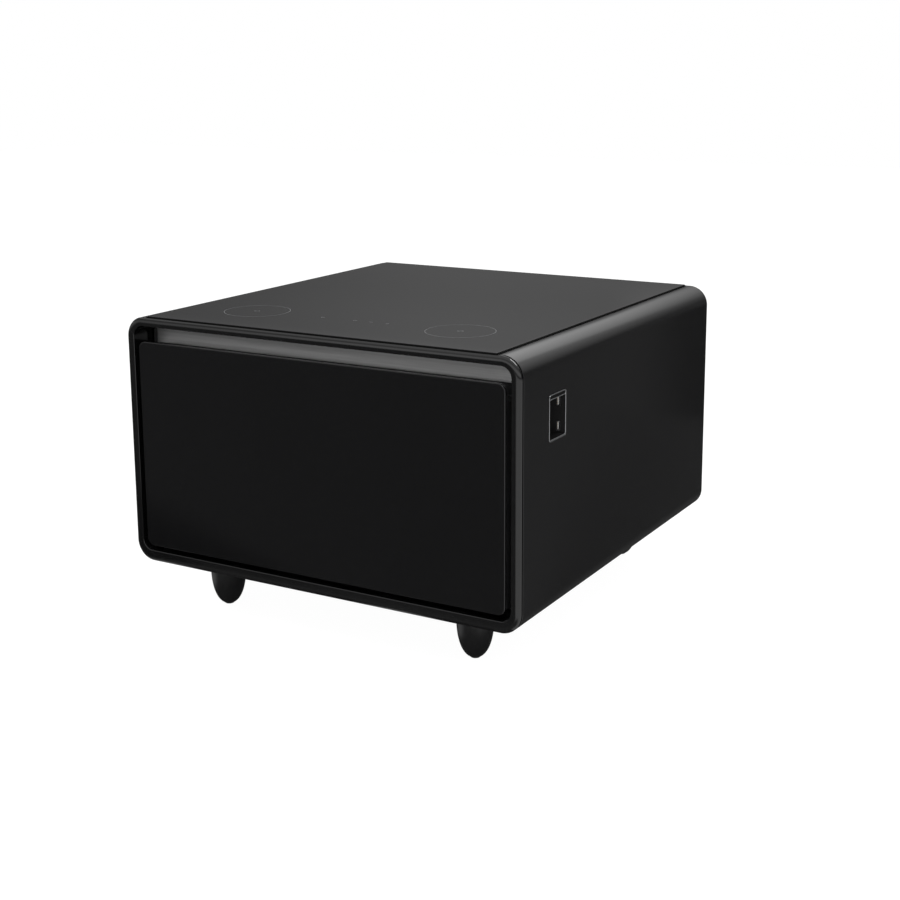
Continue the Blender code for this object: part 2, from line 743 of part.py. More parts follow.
def make_front_bezel():
    """Face frame with a filleted rim, and behind it the sleeve that the drawer front slides into."""
    sections = []
    for step in range(SMALL_STEPS + 1):
        angle = math.pi / 2 * step / SMALL_STEPS
        inset = BEZEL_EDGE_RADIUS * (1 - math.sin(angle))
        depth = BEZEL_EDGE_RADIUS * (1 - math.cos(angle))
        sections.append((CABINET.grown(-inset), FRONT + depth))
    flange_back = FRONT + BEZEL_THICKNESS
    bar = SLEEVE._replace(high=INSIDE.high)
    sections += [(CABINET, flange_back), (bar, flange_back), (bar, SLEEVE_BACK)]
    bezel = loft("front_bezel", "Y", sections, GLOSS_BLACK, LARGE_STEPS, smooth=True)
    wide = APERTURE.grown(BEZEL_INNER_CHAMFER)
    aperture = loft(
        "bezel_aperture",
        "Y",
        [
            (wide, FRONT - OVERRUN),
            (wide, FRONT),
            (APERTURE, FRONT + BEZEL_INNER_CHAMFER),
            (APERTURE, SLEEVE_BACK + OVERRUN),
        ],
        steps=LARGE_STEPS,
    )
    rebate = box(
        "bezel_glass_rebate",
        (-GLASS_HALF - GLASS_GAP, GLASS.low - GLASS_GAP, GLASS_UNDERSIDE - SEAT_GAP),
        (GLASS_HALF + GLASS_GAP, SLEEVE_BACK + OVERRUN, TOP + OVERRUN),
    )
    pitch = 2 * GLASS_HALF / SLEEVE_POCKETS
    pockets = []
    for pocket in range(SLEEVE_POCKETS):
        left = -GLASS_HALF + pitch * pocket + SLEEVE_RIB / 2
        outline = [
            (left, flange_back),
            (left + pitch - SLEEVE_RIB, flange_back),
            (left + pitch - SLEEVE_RIB, SLEEVE_BACK - SLEEVE_WALL),
            (left, SLEEVE_BACK - SLEEVE_WALL),
        ]
        pockets.append(
            [
                in_plane("Z", outline, APERTURE.high + SLEEVE_WALL),
                in_plane("Z", outline, TOP + OVERRUN),
            ]
        )
    cut(bezel, aperture, rebate, several("bezel_pockets", pockets))


def make_glass_top():
    edge = GLASS_CHAMFER
    sections = [
        (GLASS.grown(-edge), GLASS_UNDERSIDE),
        (GLASS, GLASS_UNDERSIDE + edge),
        (GLASS, GLASS_TOP - edge),
        (GLASS.grown(-edge), GLASS_TOP),
    ]
    loft("glass_top", "Z", sections, BLACK_GLASS)


def make_top_tray():
    """Ribbed tray under the glass: it holds the glass up and carries the charging pads and touch board."""
    outer = Patch(
        -GLASS_HALF + TRAY_EDGE, TRAY_FRONT, GLASS_HALF - TRAY_EDGE, GLASS.high - TRAY_EDGE, LINER_RADIUS
    )
    rim = GLASS_UNDERSIDE - SEAT_GAP
    floor = TRAY_BASE + TRAY_WALL
    tray = prism("top_tray", "Z", outer, TRAY_BASE, rim, DARK_PLASTIC)
    cut(tray, prism("tray_hollow", "Z", outer.grown(-TRAY_WALL), floor, rim + OVERRUN))
    additions = []
    for share in TRAY_RIB_SHARES:
        y = outer.low + share * (outer.high - outer.low)
        outline = [
            (outer.left + TRAY_WALL / 2, y - TRAY_RIB / 2),
            (outer.right - TRAY_WALL / 2, y - TRAY_RIB / 2),
            (outer.right - TRAY_WALL / 2, y + TRAY_RIB / 2),
            (outer.left + TRAY_WALL / 2, y + TRAY_RIB / 2),
        ]
        additions.append([in_plane("Z", outline, floor - TRAY_WALL / 2), in_plane("Z", outline, rim)])
    for x in (-CHARGER_SIDE, CHARGER_SIDE):
        ring = circle(POST_RADIUS, 16, (x, FRONT + CHARGER_FRONT))
        top = rim - CHARGER_THICKNESS - SEAT_GAP
        additions.append([in_plane("Z", ring, floor - TRAY_WALL / 2), in_plane("Z", ring, top)])
    for x in (-TOUCH_POST_SHARE * TOUCH_BOARD_LENGTH, TOUCH_POST_SHARE * TOUCH_BOARD_LENGTH):
        ring = circle(POST_RADIUS / 2, 12, (x, FRONT + CHARGER_FRONT))
        top = rim - TOUCH_BOARD_THICKNESS - KEY_HEIGHT - SEAT_GAP
        additions.append([in_plane("Z", ring, floor - TRAY_WALL / 2), in_plane("Z", ring, top)])
    add(tray, several("tray_ribs_and_posts", additions))


def make_charging_pads():
    """Flat winding on its ferrite disc, with the grooves between the turns."""
    top = GLASS_UNDERSIDE - SEAT_GAP
    low = top - CHARGER_THICKNESS
    groove = CHARGER_GROOVE
    for side, x in (("left", -CHARGER_SIDE), ("right", CHARGER_SIDE)):
        pitch = (CHARGER_RADIUS - CHARGER_CORE_RADIUS) / CHARGER_TURNS
        profile = [(CHARGER_RADIUS, low), (CHARGER_RADIUS, top)]
        for turn in range(CHARGER_TURNS):
            radius = CHARGER_RADIUS - pitch * (turn + 0.5)
            profile += [
                (radius, top),
                (radius, top - groove),
                (radius - groove, top - groove),
                (radius - groove, top),
            ]
        profile.append((CHARGER_CORE_RADIUS / 2, top))
        turned(f"charging_pad_{side}", profile, (x, FRONT + CHARGER_FRONT), COPPER, sides=20)


def make_touch_board():
    """Board under the glass with one raised sensing pad below each touch mark."""
    top = GLASS_UNDERSIDE - SEAT_GAP - KEY_HEIGHT
    middle = FRONT + CHARGER_FRONT
    half = TOUCH_BOARD_WIDTH / 2
    board = box(
        "touch_board",
        (-TOUCH_BOARD_LENGTH / 2, middle - half, top - TOUCH_BOARD_THICKNESS),
        (TOUCH_BOARD_LENGTH / 2, middle + half, top),
        GREEN_BOARD,
    )
    keys = []
    for key in range(KEY_COUNT):
        ring = circle(KEY_RADIUS, 12, (KEY_PITCH * (key - (KEY_COUNT - 1) / 2), middle))
        keys.append([in_plane("Z", ring, top - TOUCH_BOARD_THICKNESS / 2), in_plane("Z", ring, top + KEY_HEIGHT)])
    add(board, several("touch_keys", keys))


def make_inner_liner():
    """Thin moulded box with a front flange that the gasket closes on."""
    outside = MOUTH.grown(LINER_WALL)
    sections = [
        (SLEEVE, LINER_FRONT),
        (SLEEVE, LINER_FRONT + LINER_WALL),
        (outside, LINER_FRONT + LINER_WALL),
        (outside, LINER_BACK),
    ]
    liner = loft("inner_liner", "Y", sections, WHITE_PLASTIC)
    cut(liner, prism("liner_hollow", "Y", MOUTH, LINER_FRONT - OVERRUN, LINER_WALL_FRONT), pipe_holes("liner"))


def pipe_holes(owner):
    """Cutters for the two pipes that run from the evaporator to the machinery."""
    holes = []
    for x, z in ((-PIPE_SIDE, EVAPORATOR_FIRST), (PIPE_SIDE, EVAPORATOR_LAST)):
        ring = circle(PIPE_HOLE_RADIUS, 12, (x, z))
        holes.append(
            [in_plane("Y", ring, LINER_WALL_FRONT - OVERRUN), in_plane("Y", ring, FOAM_BACK + OVERRUN)]
        )
    return several(f"{owner}_pipe_holes", holes)


def make_insulation():
    """Foam that fills the space between the liner and the shell."""
    start = TRAY_FRONT
    foam = loft("insulation_foam", "Y", [(INSIDE, start), (INSIDE, FOAM_BACK)], FOAM)
    lid = box(
        "foam_top_cut",
        (-HALF_WIDTH, start - OVERRUN, FOAM_TOP),
        (HALF_WIDTH, FOAM_BACK + OVERRUN, TOP + OVERRUN),
    )
    room = prism(
        "foam_hollow", "Y", MOUTH.grown(LINER_WALL + SEAT_GAP), start - OVERRUN, LINER_BACK + SEAT_GAP
    )
    pocket = prism(
        "foam_port_pocket",
        "X",
        HOUSING.grown(HOUSING_GAP),
        HALF_WIDTH - HOUSING_DEPTH - SEAT_GAP,
        HALF_WIDTH + OVERRUN,
    )
    rear_pocket = prism(
        "foam_port_rear_pocket",
        "X",
        PORT_ROOM.grown(HOUSING_GAP),
        HALF_WIDTH - PORT_ROOM_DEPTH - SEAT_GAP,
        HALF_WIDTH + OVERRUN,
    )
    cut(foam, lid, room, pocket, rear_pocket, pipe_holes("foam"))


def make_back_panel():
    """Sheet let into the back of the shell, with two fields of vent slots and the inlet's cut-out."""
    panel = prism("back_panel", "Y", INSIDE, BACK_PANEL_INSIDE, BACK_PANEL_OUTSIDE, ZINC_STEEL)
    slots = []
    for field, high in ((PIPE_SIDE, TRAY_BASE), (CONDENSER_ACROSS, CONDENSER_FLOOR + CONDENSER_HEIGHT)):
        for column in (-1, 1):
            for row in range(VENT_ROWS):
                x = field + column * VENT_COLUMN_PITCH / 2
                points = slot_outline(x, high - VENT_PITCH * (row + 1), VENT_LENGTH, VENT_HEIGHT)
                slots.append(
                    [
                        in_plane("Y", points, BACK_PANEL_INSIDE - OVERRUN),
                        in_plane("Y", points, BACK_PANEL_OUTSIDE + OVERRUN),
                    ]
                )
    inlet = inlet_patch(INLET_BODY_WIDTH, INLET_BODY_HEIGHT).grown(SEAT_GAP)
    hole = prism("inlet_hole", "Y", inlet, BACK_PANEL_INSIDE - OVERRUN, BACK_PANEL_OUTSIDE + OVERRUN)
    cut(panel, several("vent_slots", slots), hole)


def inlet_patch(width, height):
    x, z = INLET_MIDDLE
    return Patch(x - width / 2, z - height / 2, x + width / 2, z + height / 2, PIN_WIDTH)


def make_power_inlet():
    """Three-pin appliance inlet, whose socket opens to the back."""
    face = BACK_PANEL_OUTSIDE + SEAT_GAP + INLET_FLANGE
    body = inlet_patch(INLET_BODY_WIDTH, INLET_BODY_HEIGHT)
    flange = inlet_patch(INLET_WIDTH, INLET_HEIGHT)
    sections = [
        (body, face - INLET_DEPTH),
        (body, BACK_PANEL_OUTSIDE + SEAT_GAP),
        (flange, BACK_PANEL_OUTSIDE + SEAT_GAP),
        (flange, face),
    ]
    inlet = loft("power_inlet", "Y", sections, DARK_PLASTIC)
    floor = face - INLET_SOCKET_DEPTH
    socket = inlet_patch(INLET_SOCKET_WIDTH, INLET_SOCKET_HEIGHT)
    cut(inlet, prism("inlet_socket", "Y", socket, floor, face + OVERRUN))
    pins = []
    for place in (-1, 0, 1):
        x = INLET_MIDDLE[0] + place * PIN_PITCH
        z = INLET_MIDDLE[1] - PIN_DROP
        outline = [
            (x - PIN_WIDTH / 2, z - PIN_HEIGHT / 2),
            (x + PIN_WIDTH / 2, z - PIN_HEIGHT / 2),
            (x + PIN_WIDTH / 2, z + PIN_HEIGHT / 2),
            (x - PIN_WIDTH / 2, z + PIN_HEIGHT / 2),
        ]
        pins.append([in_plane("Y", outline, floor - PIN_WIDTH), in_plane("Y", outline, floor + PIN_LENGTH)])
    add(inlet, several("inlet_pins", pins))


def make_drawer_glass():
    edge = PANEL_CHAMFER
    back = FRONT + PANEL_THICKNESS
    sections = [(PANEL.grown(-edge), FRONT), (PANEL, FRONT + edge), (PANEL, back - edge), (PANEL.grown(-edge), back)]
    return loft("drawer_glass", "Y", sections, BLACK_GLASS)


def make_drawer_front_frame():
    """Moulding behind the glass: a block with a finger gutter in its top, and a wide flange behind it."""
    core = PANEL.grown(-FRAME_INSET)
    flange = APERTURE.grown(-DRAWER_CLEARANCE)
    start = FRONT + PANEL_THICKNESS + SEAT_GAP
    sections = [(core, start), (core, GRIP_PLANE), (flange, GRIP_PLANE), (flange, FLANGE_BACK)]
    frame = loft("drawer_front_frame", "Y", sections, GLOSS_BLACK)
    gutter = Patch(
        start + GRIP_LIP,
        PANEL.high - GRIP_FLOOR_DROP,
        GRIP_PLANE + STRIP_SEAT,
        TOP,
        GRIP_FLOOR_RADIUS,
    )
    cut(frame, prism("grip_gutter", "X", gutter, flange.left - OVERRUN, flange.right + OVERRUN))
    return frame


def make_grip_strip():
    """Long satin strip at the back of the finger gutter, slightly hollow across its face."""
    flange = APERTURE.grown(-DRAWER_CLEARANCE)
    low = PANEL.high - STRIP_DROP
    high = flange.high - STRIP_THICKNESS / 2
    back = GRIP_PLANE + STRIP_SEAT - SEAT_GAP
    points = [(back, low), (back, high)]
    for step in range(LARGE_STEPS + 1):
        share = 1 - 2 * step / LARGE_STEPS
        face = back - STRIP_THICKNESS + STRIP_HOLLOW * (1 - share * share)
        points.append((face, (low + high) / 2 + share * (high - low) / 2))
    half = PANEL.right - STRIP_END_MARGIN
    return prism("grip_strip", "X", points, -half, half, SATIN_ALUMINIUM, smooth=True)


def make_drawer_back_panel():
    """Insulated inner panel, domed at its edges, which plugs the mouth of the liner."""
    start = FLANGE_BACK + SEAT_GAP
    edge = PLUG_RADIUS / 3
    sections = [(PLUG, start), (PLUG, PLUG_BACK - edge), (PLUG.grown(-edge), PLUG_BACK)]
    return loft("drawer_back_panel", "Y", sections, WHITE_PLASTIC)


def make_drawer_gasket():
    """Bellows seal round the inner panel, between the drawer's flange and the liner's."""
    start = FLANGE_BACK + SEAT_GAP
    end = LINER_FRONT - SEAT_GAP
    inner = PLUG.grown(GASKET_FIT)
    outer = inner.grown(GASKET_WIDTH)
    waist = outer.grown(-GASKET_GROOVE)
    length = end - start
    sections = [
        (outer, start),
        (outer, start + length / 4),
        (waist, start + length / 2),
        (outer, start + 3 * length / 4),
        (outer, end),
    ]
    gasket = loft("drawer_gasket", "Y", sections, GREY_RUBBER)
    cut(gasket, prism("gasket_hole", "Y", inner, start - OVERRUN, end + OVERRUN))
    return gasket


def channel(sign, wall, open_edge, half_height):
    """The section of one slide member: a web with a flange along its top and bottom."""
    sheet = SLIDE_SHEET
    reach = 1 if open_edge > wall else -1
    inner = wall + reach * sheet
    flat = [
        (wall, -half_height),
        (open_edge, -half_height),
        (open_edge, sheet - half_height),
        (inner, sheet - half_height),
        (inner, half_height - sheet),
        (open_edge, half_height - sheet),
        (open_edge, half_height),
        (wall, half_height),
    ]
    return [(sign * (MOUTH.right - SEAT_GAP - across), SLIDE_MIDDLE + up) for across, up in flat]


def make_slides():
    """Three nested channels on each side; the middle one runs out half as far as the drawer."""
    half = SLIDE_HEIGHT / 2
    step = SLIDE_SHEET + SLIDE_RUN_GAP
    runners = []
    middles = []
    for side, sign in (("left", -1), ("right", 1)):
        outer = channel(sign, 0.0, SLIDE_THICKNESS - SLIDE_SHEET, half)
        middle = channel(sign, step, SLIDE_THICKNESS - SLIDE_SHEET, half - step)
        inner = channel(sign, SLIDE_THICKNESS, 2 * step, half - 2 * step)
        prism(f"slide_outer_{side}", "Y", outer, SLIDE_FRONT, SLIDE_BACK, ZINC_STEEL)
        middles.append(prism(f"slide_middle_{side}", "Y", middle, SLIDE_FRONT, SLIDE_BACK, ZINC_STEEL))
        runners.append(prism(f"slide_inner_{side}", "Y", inner, PLUG_BACK + SEAT_GAP, SLIDE_BACK, ZINC_STEEL))
    return runners, middles


def basket_patch():
    low = PLUG_BACK + SEAT_GAP
    return Patch(-BASKET_HALF, low, BASKET_HALF, COVER_FRONT - BASKET_BACK_CLEARANCE, BASKET_CORNER_RADIUS)


def divider_middle():
    patch = basket_patch()
    return patch.low + DIVIDER_SHARE * (patch.high - patch.low)


def make_drawer_basket():
    """Deep moulded basket with a thick rim, ribs under the goods and guides for its divider."""
    patch = basket_patch()
    base = MOUTH.low + BASKET_LIFT
    floor = base + BASKET_WALL
    rim = base + BASKET_HEIGHT
    inside = patch.grown(-BASKET_WALL)
    narrow = inside.grown(-BASKET_RIM)
    basket = prism("drawer_basket", "Z", patch, base, rim, WHITE_PLASTIC)
    hollow = loft(
        "basket_hollow",
        "Z",
        [
            (inside, floor),
            (inside, rim - BASKET_RIM_HEIGHT - BASKET_RIM),
            (narrow, rim - BASKET_RIM_HEIGHT),
            (narrow, rim + OVERRUN),
        ],
    )
    cut(basket, hollow)
    additions = []
    for rib in range(FLOOR_RIBS):
        y = patch.low + (patch.high - patch.low) * (rib + 0.5) / FLOOR_RIBS
        outline = [
            (inside.left + BASKET_CORNER_RADIUS, y - FLOOR_RIB / 2),
            (inside.right - BASKET_CORNER_RADIUS, y - FLOOR_RIB / 2),
            (inside.right - BASKET_CORNER_RADIUS, y + FLOOR_RIB / 2),
            (inside.left + BASKET_CORNER_RADIUS, y + FLOOR_RIB / 2),
        ]
        additions.append(
            [in_plane("Z", outline, floor - BASKET_WALL / 2), in_plane("Z", outline, floor + FLOOR_RIB_HEIGHT)]
        )
    guide_top = floor + FLOOR_RIB_HEIGHT + DIVIDER_HEIGHT_SHARE * BASKET_HEIGHT / 2
    for sign in (-1, 1):
        wall = sign * inside.right
        for edge in (-1, 1):
            near = divider_middle() + edge * (DIVIDER_THICKNESS / 2 + SEAT_GAP)
            far = near + edge * GUIDE_WIDTH
            outline = [
                (wall + sign * BASKET_WALL / 2, near),
                (wall - sign * GUIDE_REACH, near),
                (wall - sign * GUIDE_REACH, far),
                (wall + sign * BASKET_WALL / 2, far),
            ]
            additions.append([in_plane("Z", outline, floor - BASKET_WALL / 2), in_plane("Z", outline, guide_top)])
    add(basket, several("basket_ribs", additions))
    return basket


def make_basket_divider():
    """Plate that stands across the basket between its guides."""
    patch = basket_patch()
    half = patch.right - BASKET_WALL - SEAT_GAP
    low = MOUTH.low + BASKET_LIFT + BASKET_WALL + FLOOR_RIB_HEIGHT + SEAT_GAP
    high = low + DIVIDER_HEIGHT_SHARE * BASKET_HEIGHT
    outline = Patch(-half, low, half, high, DIVIDER_THICKNESS)
    middle = divider_middle()
    return prism(
        "basket_divider", "Y", outline, middle - DIVIDER_THICKNESS / 2, middle + DIVIDER_THICKNESS / 2, WHITE_PLASTIC
    )


def make_liner_light():
    """Lens on the ceiling of the liner, near its mouth."""
    high = MOUTH.high - SEAT_GAP
    low = high - LIGHT_THICKNESS
    start = LINER_FRONT + LIGHT_SETBACK
    foot = Patch(-LIGHT_LENGTH / 2, start, LIGHT_LENGTH / 2, start + LIGHT_WIDTH, LIGHT_THICKNESS)
    loft(
        "liner_light",
        "Z",
        [(foot.grown(-LIGHT_THICKNESS / 3), low), (foot, low + LIGHT_THICKNESS / 2), (foot, high)],
        CLEAR_LENS,
    )


def serpentine(start, along, across, length, pitch, passes):
    """Corners of a route that runs to and fro, moving over by one pitch at each turn."""
    corners = []
    place = Vector(start)
    direction = Vector(along)
    for run in range(passes):
        corners.append(place.copy())
        place = place + direction * length
        corners.append(place.copy())
        place = place + Vector(across) * pitch
        direction = -direction
    return corners


def make_evaporator():
    """Bonded plate with one tube run to and fro across its face; the ends stand out past its sides."""
    front = EVAPORATOR_PLATE_FRONT
    plate = box(
        "evaporator",
        (-EVAPORATOR_WIDTH / 2, front, EVAPORATOR_FLOOR),
        (EVAPORATOR_WIDTH / 2, front + EVAPORATOR_SHEET, EVAPORATOR_FLOOR + EVAPORATOR_HEIGHT),
        SATIN_ALUMINIUM,
    )
    run = EVAPORATOR_WIDTH - EVAPORATOR_END
    corners = serpentine(
        (-run / 2, EVAPORATOR_LINE, EVAPORATOR_FIRST), (1, 0, 0), (0, 0, 1), run, EVAPORATOR_PITCH, EVAPORATOR_PASSES
    )
    corners[0].x = -EVAPORATOR_WIDTH / 2 - CAPILLARY_RADIUS
    corners[-1].x = EVAPORATOR_WIDTH / 2 + CAPILLARY_RADIUS
    route = rounded_route(corners, EVAPORATOR_PITCH / 2)
    tube = solid("evaporator_tube", skin(tube_rings(route, EVAPORATOR_TUBE, 8)))
    add(plate, tube)


def make_evaporator_cover():
    """Hood over the evaporator: slots low down to draw air in, and a round guard where the fan blows."""
    back = LINER_WALL_FRONT - SEAT_GAP
    cover = prism("evaporator_cover", "Y", COVER, COVER_FRONT, back, WHITE_PLASTIC)
    inside = COVER.grown(-COVER_WALL)
    hollow = prism("cover_hollow", "Y", inside, COVER_FRONT + COVER_WALL, back + OVERRUN)
    slots = []
    for row in range(COVER_SLOT_ROWS):
        for column in range(COVER_SLOT_COLUMNS):
            x = COVER_SLOT_PITCH * (column - (COVER_SLOT_COLUMNS - 1) / 2)
            z = COVER.low + COVER_SLOT_LOW + COVER_SLOT_ROW_PITCH * row
            points = slot_outline(x, z, COVER_SLOT_LENGTH, COVER_SLOT_HEIGHT)
            slots.append(
                [in_plane("Y", points, COVER_FRONT - OVERRUN), in_plane("Y", points, COVER_FRONT + 2 * COVER_WALL)]
            )
    outer = SMALL_FAN_SIZE / 2 - FAN_WALL
    hub = FAN_HUB_SHARE * outer
    for spoke in range(COVER_SPOKES):
        start = 2 * math.pi * (spoke + (1 - COVER_SPOKE_SHARE) / 2) / COVER_SPOKES
        sweep = 2 * math.pi * COVER_SPOKE_SHARE / COVER_SPOKES
        angles = [start + sweep * step / 4 for step in range(5)]
        points = [(outer * math.cos(angle), outer * math.sin(angle) + SMALL_FAN_HEIGHT) for angle in angles]
        points += [
            (hub * math.cos(angle), hub * math.sin(angle) + SMALL_FAN_HEIGHT) for angle in reversed(angles)
        ]
        slots.append(
            [in_plane("Y", points, COVER_FRONT - OVERRUN), in_plane("Y", points, COVER_FRONT + 2 * COVER_WALL)]
        )
    cut(cover, hollow, several("cover_slots", slots))


def fan_blades(hub, tip, low, high):
    """Sections of the blades from inside the hub to the tip, each set at a slightly flatter pitch."""
    root = FAN_ROOT_SHARE * hub
    chord = (high - low) * FAN_CHORD_SHARE
    blades = []
    for blade in range(FAN_BLADES):
        rings = []
        for step in range(FAN_SECTIONS):
            share = step / (FAN_SECTIONS - 1)
            radius = root + share * (tip - root)
            pitch = FAN_ROOT_PITCH + share * (FAN_TIP_PITCH - FAN_ROOT_PITCH)
            section = []
            for along_share, thick_share in FAN_SECTION_SHARES:
                along = along_share * chord
                thick = thick_share * FAN_BLADE
                rise = along * math.sin(pitch) + thick * math.cos(pitch)
                swing = along * math.cos(pitch) - thick * math.sin(pitch)
                angle = 2 * math.pi * blade / FAN_BLADES + FAN_SWEEP * share + swing / radius
                section.append((radius * math.cos(angle), radius * math.sin(angle), (low + high) / 2 + rise))
            rings.append(section)
        blades.append(rings)
    return blades


def make_fan(stem, size, depth, place, rotation):
    """Axial fan along its own Z: a square duct with a motor cup on struts, and a bladed rotor on its spindle."""
    half = size / 2
    duct = half - FAN_WALL
    hub = FAN_HUB_SHARE * duct
    outline = Patch(-half, -half, half, half, FAN_CORNER_RADIUS)
    frame = prism(f"{stem}_frame", "Z", outline, -depth / 2, depth / 2, DARK_PLASTIC, origin=(0, 0, 0))
    bore = cylinder(
        f"{stem}_bore", "Z", (0, 0), duct, -depth / 2 - OVERRUN, depth / 2 + OVERRUN, sides=32, origin=(0, 0, 0)
    )
    corner = half - FAN_CORNER_RADIUS
    screws = []
    for x in (-corner, corner):
        for y in (-corner, corner):
            ring = circle(FAN_SCREW_RADIUS, 8, (x, y))
            screws.append(
                [in_plane("Z", ring, -depth / 2 - OVERRUN), in_plane("Z", ring, depth / 2 + OVERRUN)]
            )
    holes = several(f"{stem}_screw_holes", screws)
    floor = -depth / 2
    cup = cylinder(f"{stem}_cup", "Z", (0, 0), hub, floor, floor + FAN_CUP, sides=24, origin=(0, 0, 0))
    spindle_top = depth / 2 - FAN_CUP - FAN_RUN_GAP
    spindle = cylinder(
        f"{stem}_spindle", "Z", (0, 0), FAN_SPINDLE, floor + FAN_CUP / 2, spindle_top, sides=16, origin=(0, 0, 0)
    )
    reach = duct + FAN_WALL / 2
    struts = []
    start = FAN_ROOT_SHARE * hub
    for quarter in range(4):
        turn = Matrix.Rotation((quarter + 0.5) * math.pi / 2, 3, "Z")
        corners = [(start, -FAN_STRUT / 2), (reach, -FAN_STRUT / 2), (reach, FAN_STRUT / 2), (start, FAN_STRUT / 2)]
        points = [tuple((turn @ Vector((x, y, 0.0)))[:2]) for x, y in corners]
        struts.append([in_plane("Z", points, floor), in_plane("Z", points, floor + FAN_CUP)])
    bars = several(f"{stem}_struts", struts)
    cut(frame, bore, holes)
    add(frame, cup, bars, spindle)
    rotor_low = floor + FAN_CUP + FAN_RUN_GAP
    rotor_high = depth / 2 - FAN_CUP / 2
    rotor = cylinder(
        f"{stem}_rotor", "Z", (0, 0), hub, rotor_low, rotor_high, DARK_PLASTIC, sides=24, origin=(0, 0, 0)
    )
    vanes = several(f"{stem}_blades", fan_blades(hub, duct - FAN_TIP_GAP, rotor_low, rotor_high))
    hollow = cylinder(
        f"{stem}_rotor_bore",
        "Z",
        (0, 0),
        FAN_SPINDLE + FAN_RUN_GAP,
        rotor_low - OVERRUN,
        spindle_top + FAN_RUN_GAP,
        sides=16,
        origin=(0, 0, 0),
    )
    add(rotor, vanes)
    cut(rotor, hollow)
    for helper in (holes, bars, vanes):
        helper.matrix_world = Matrix.Translation(place) @ rotation @ Matrix.Translation(helper.location)
    for item in (frame, bore, cup, spindle, rotor, hollow):
        turn_about(item, place, rotation)
    return rotor


def make_machine_base():
    """Folded sheet on the floor of the cabinet that carries the machinery."""
    near = FOAM_BACK + MACHINE_MARGIN
    far = BACK_PANEL_INSIDE - MACHINE_MARGIN
    low = BASE + SHELL_WALL + SEAT_GAP
    sheet = MACHINE_SHEET
    outline = [
        (near, low),
        (far, low),
        (far, low + MACHINE_LIP),
        (far - sheet, low + MACHINE_LIP),
        (far - sheet, low + sheet),
        (near + sheet, low + sheet),
        (near + sheet, low + MACHINE_LIP),
        (near, low + MACHINE_LIP),
    ]
    half = HALF_WIDTH - CORNER_RADIUS
    prism("machine_base", "X", outline, -half, half, ZINC_STEEL)


def make_compressor():
    """Welded pot on a four-eared foot plate, standing on rubber grommets."""
    x, y = PIPE_SIDE, MACHINE_MIDDLE
    base = COMPRESSOR_BASE - COMPRESSOR_PLATE / 2
    wall_top = COMPRESSOR_TOP - COMPRESSOR_CROWN
    weld = COMPRESSOR_BASE + WELD_HEIGHT_SHARE * (wall_top - COMPRESSOR_BASE)
    radius = COMPRESSOR_RADIUS
    rim = radius + WELD_RIM
    profile = [(POT_FOOT_SHARE * radius, base), (radius, base + COMPRESSOR_CROWN / 2)]
    profile += [(radius, weld), (rim, weld), (rim, weld + WELD_RIM_HEIGHT), (radius, weld + WELD_RIM_HEIGHT)]
    for step in range(SMALL_STEPS + 1):
        angle = math.pi / 2 * step / (SMALL_STEPS + 1)
        profile.append((radius * math.cos(angle), wall_top + COMPRESSOR_CROWN * math.sin(angle)))
    profile.append((POT_CROWN_SHARE * radius, COMPRESSOR_TOP))
    pot = turned("compressor", profile, (x, y), SATIN_BLACK)
    half = GROMMET_SPACING / 2 + GROMMET_RADIUS
    plate = Patch(x - half, y - half, x + half, y + half, GROMMET_RADIUS)
    add(pot, prism("compressor_plate", "Z", plate, COMPRESSOR_FOOT, COMPRESSOR_BASE))
    low = MACHINE_FLOOR + SEAT_GAP
    number = 0
    for across in (-1, 1):
        for along in (-1, 1):
            number += 1
            centre = (x + across * GROMMET_SPACING / 2, y + along * GROMMET_SPACING / 2)
            bead = GROMMET_BEAD_SHARE * GROMMET_HEIGHT
            shape = [
                (GROMMET_RADIUS, low),
                (GROMMET_RADIUS, low + bead),
                (GROMMET_WAIST_SHARE * GROMMET_RADIUS, low + GROMMET_HEIGHT / 2),
                (GROMMET_RADIUS, low + GROMMET_HEIGHT - bead),
                (GROMMET_RADIUS, low + GROMMET_HEIGHT),
            ]
            turned(f"compressor_grommet_{number}", shape, centre, GREY_RUBBER, sides=16)


def make_terminal_box():
    """Box for the compressor's relay, hollowed to sit against the round pot."""
    x, y = PIPE_SIDE, MACHINE_MIDDLE
    near = x + TERMINAL_SEAT_SHARE * COMPRESSOR_RADIUS
    far = x + COMPRESSOR_RADIUS + TERMINAL_DEPTH
    low = COMPRESSOR_BASE + COMPRESSOR_CROWN / 2 + SEAT_GAP
    high = low + TERMINAL_HEIGHT
    body = Patch(near, y - TERMINAL_WIDTH / 2, far, y + TERMINAL_WIDTH / 2, WELD_RIM)
    terminal = prism("terminal_box", "Z", body, low, high, DARK_PLASTIC)
    wall_top = COMPRESSOR_TOP - COMPRESSOR_CROWN
    weld = COMPRESSOR_BASE + WELD_HEIGHT_SHARE * (wall_top - COMPRESSOR_BASE)
    pot = cylinder(
        "terminal_seat", "Z", (x, y), COMPRESSOR_RADIUS + SEAT_GAP, low - OVERRUN, high + OVERRUN, sides=32
    )
    rim = cylinder(
        "terminal_rim_seat",
        "Z",
        (x, y),
        COMPRESSOR_RADIUS + WELD_RIM + SEAT_GAP,
        weld - SEAT_GAP,
        high + OVERRUN,
        sides=32,
    )
    cut(terminal, pot, rim)


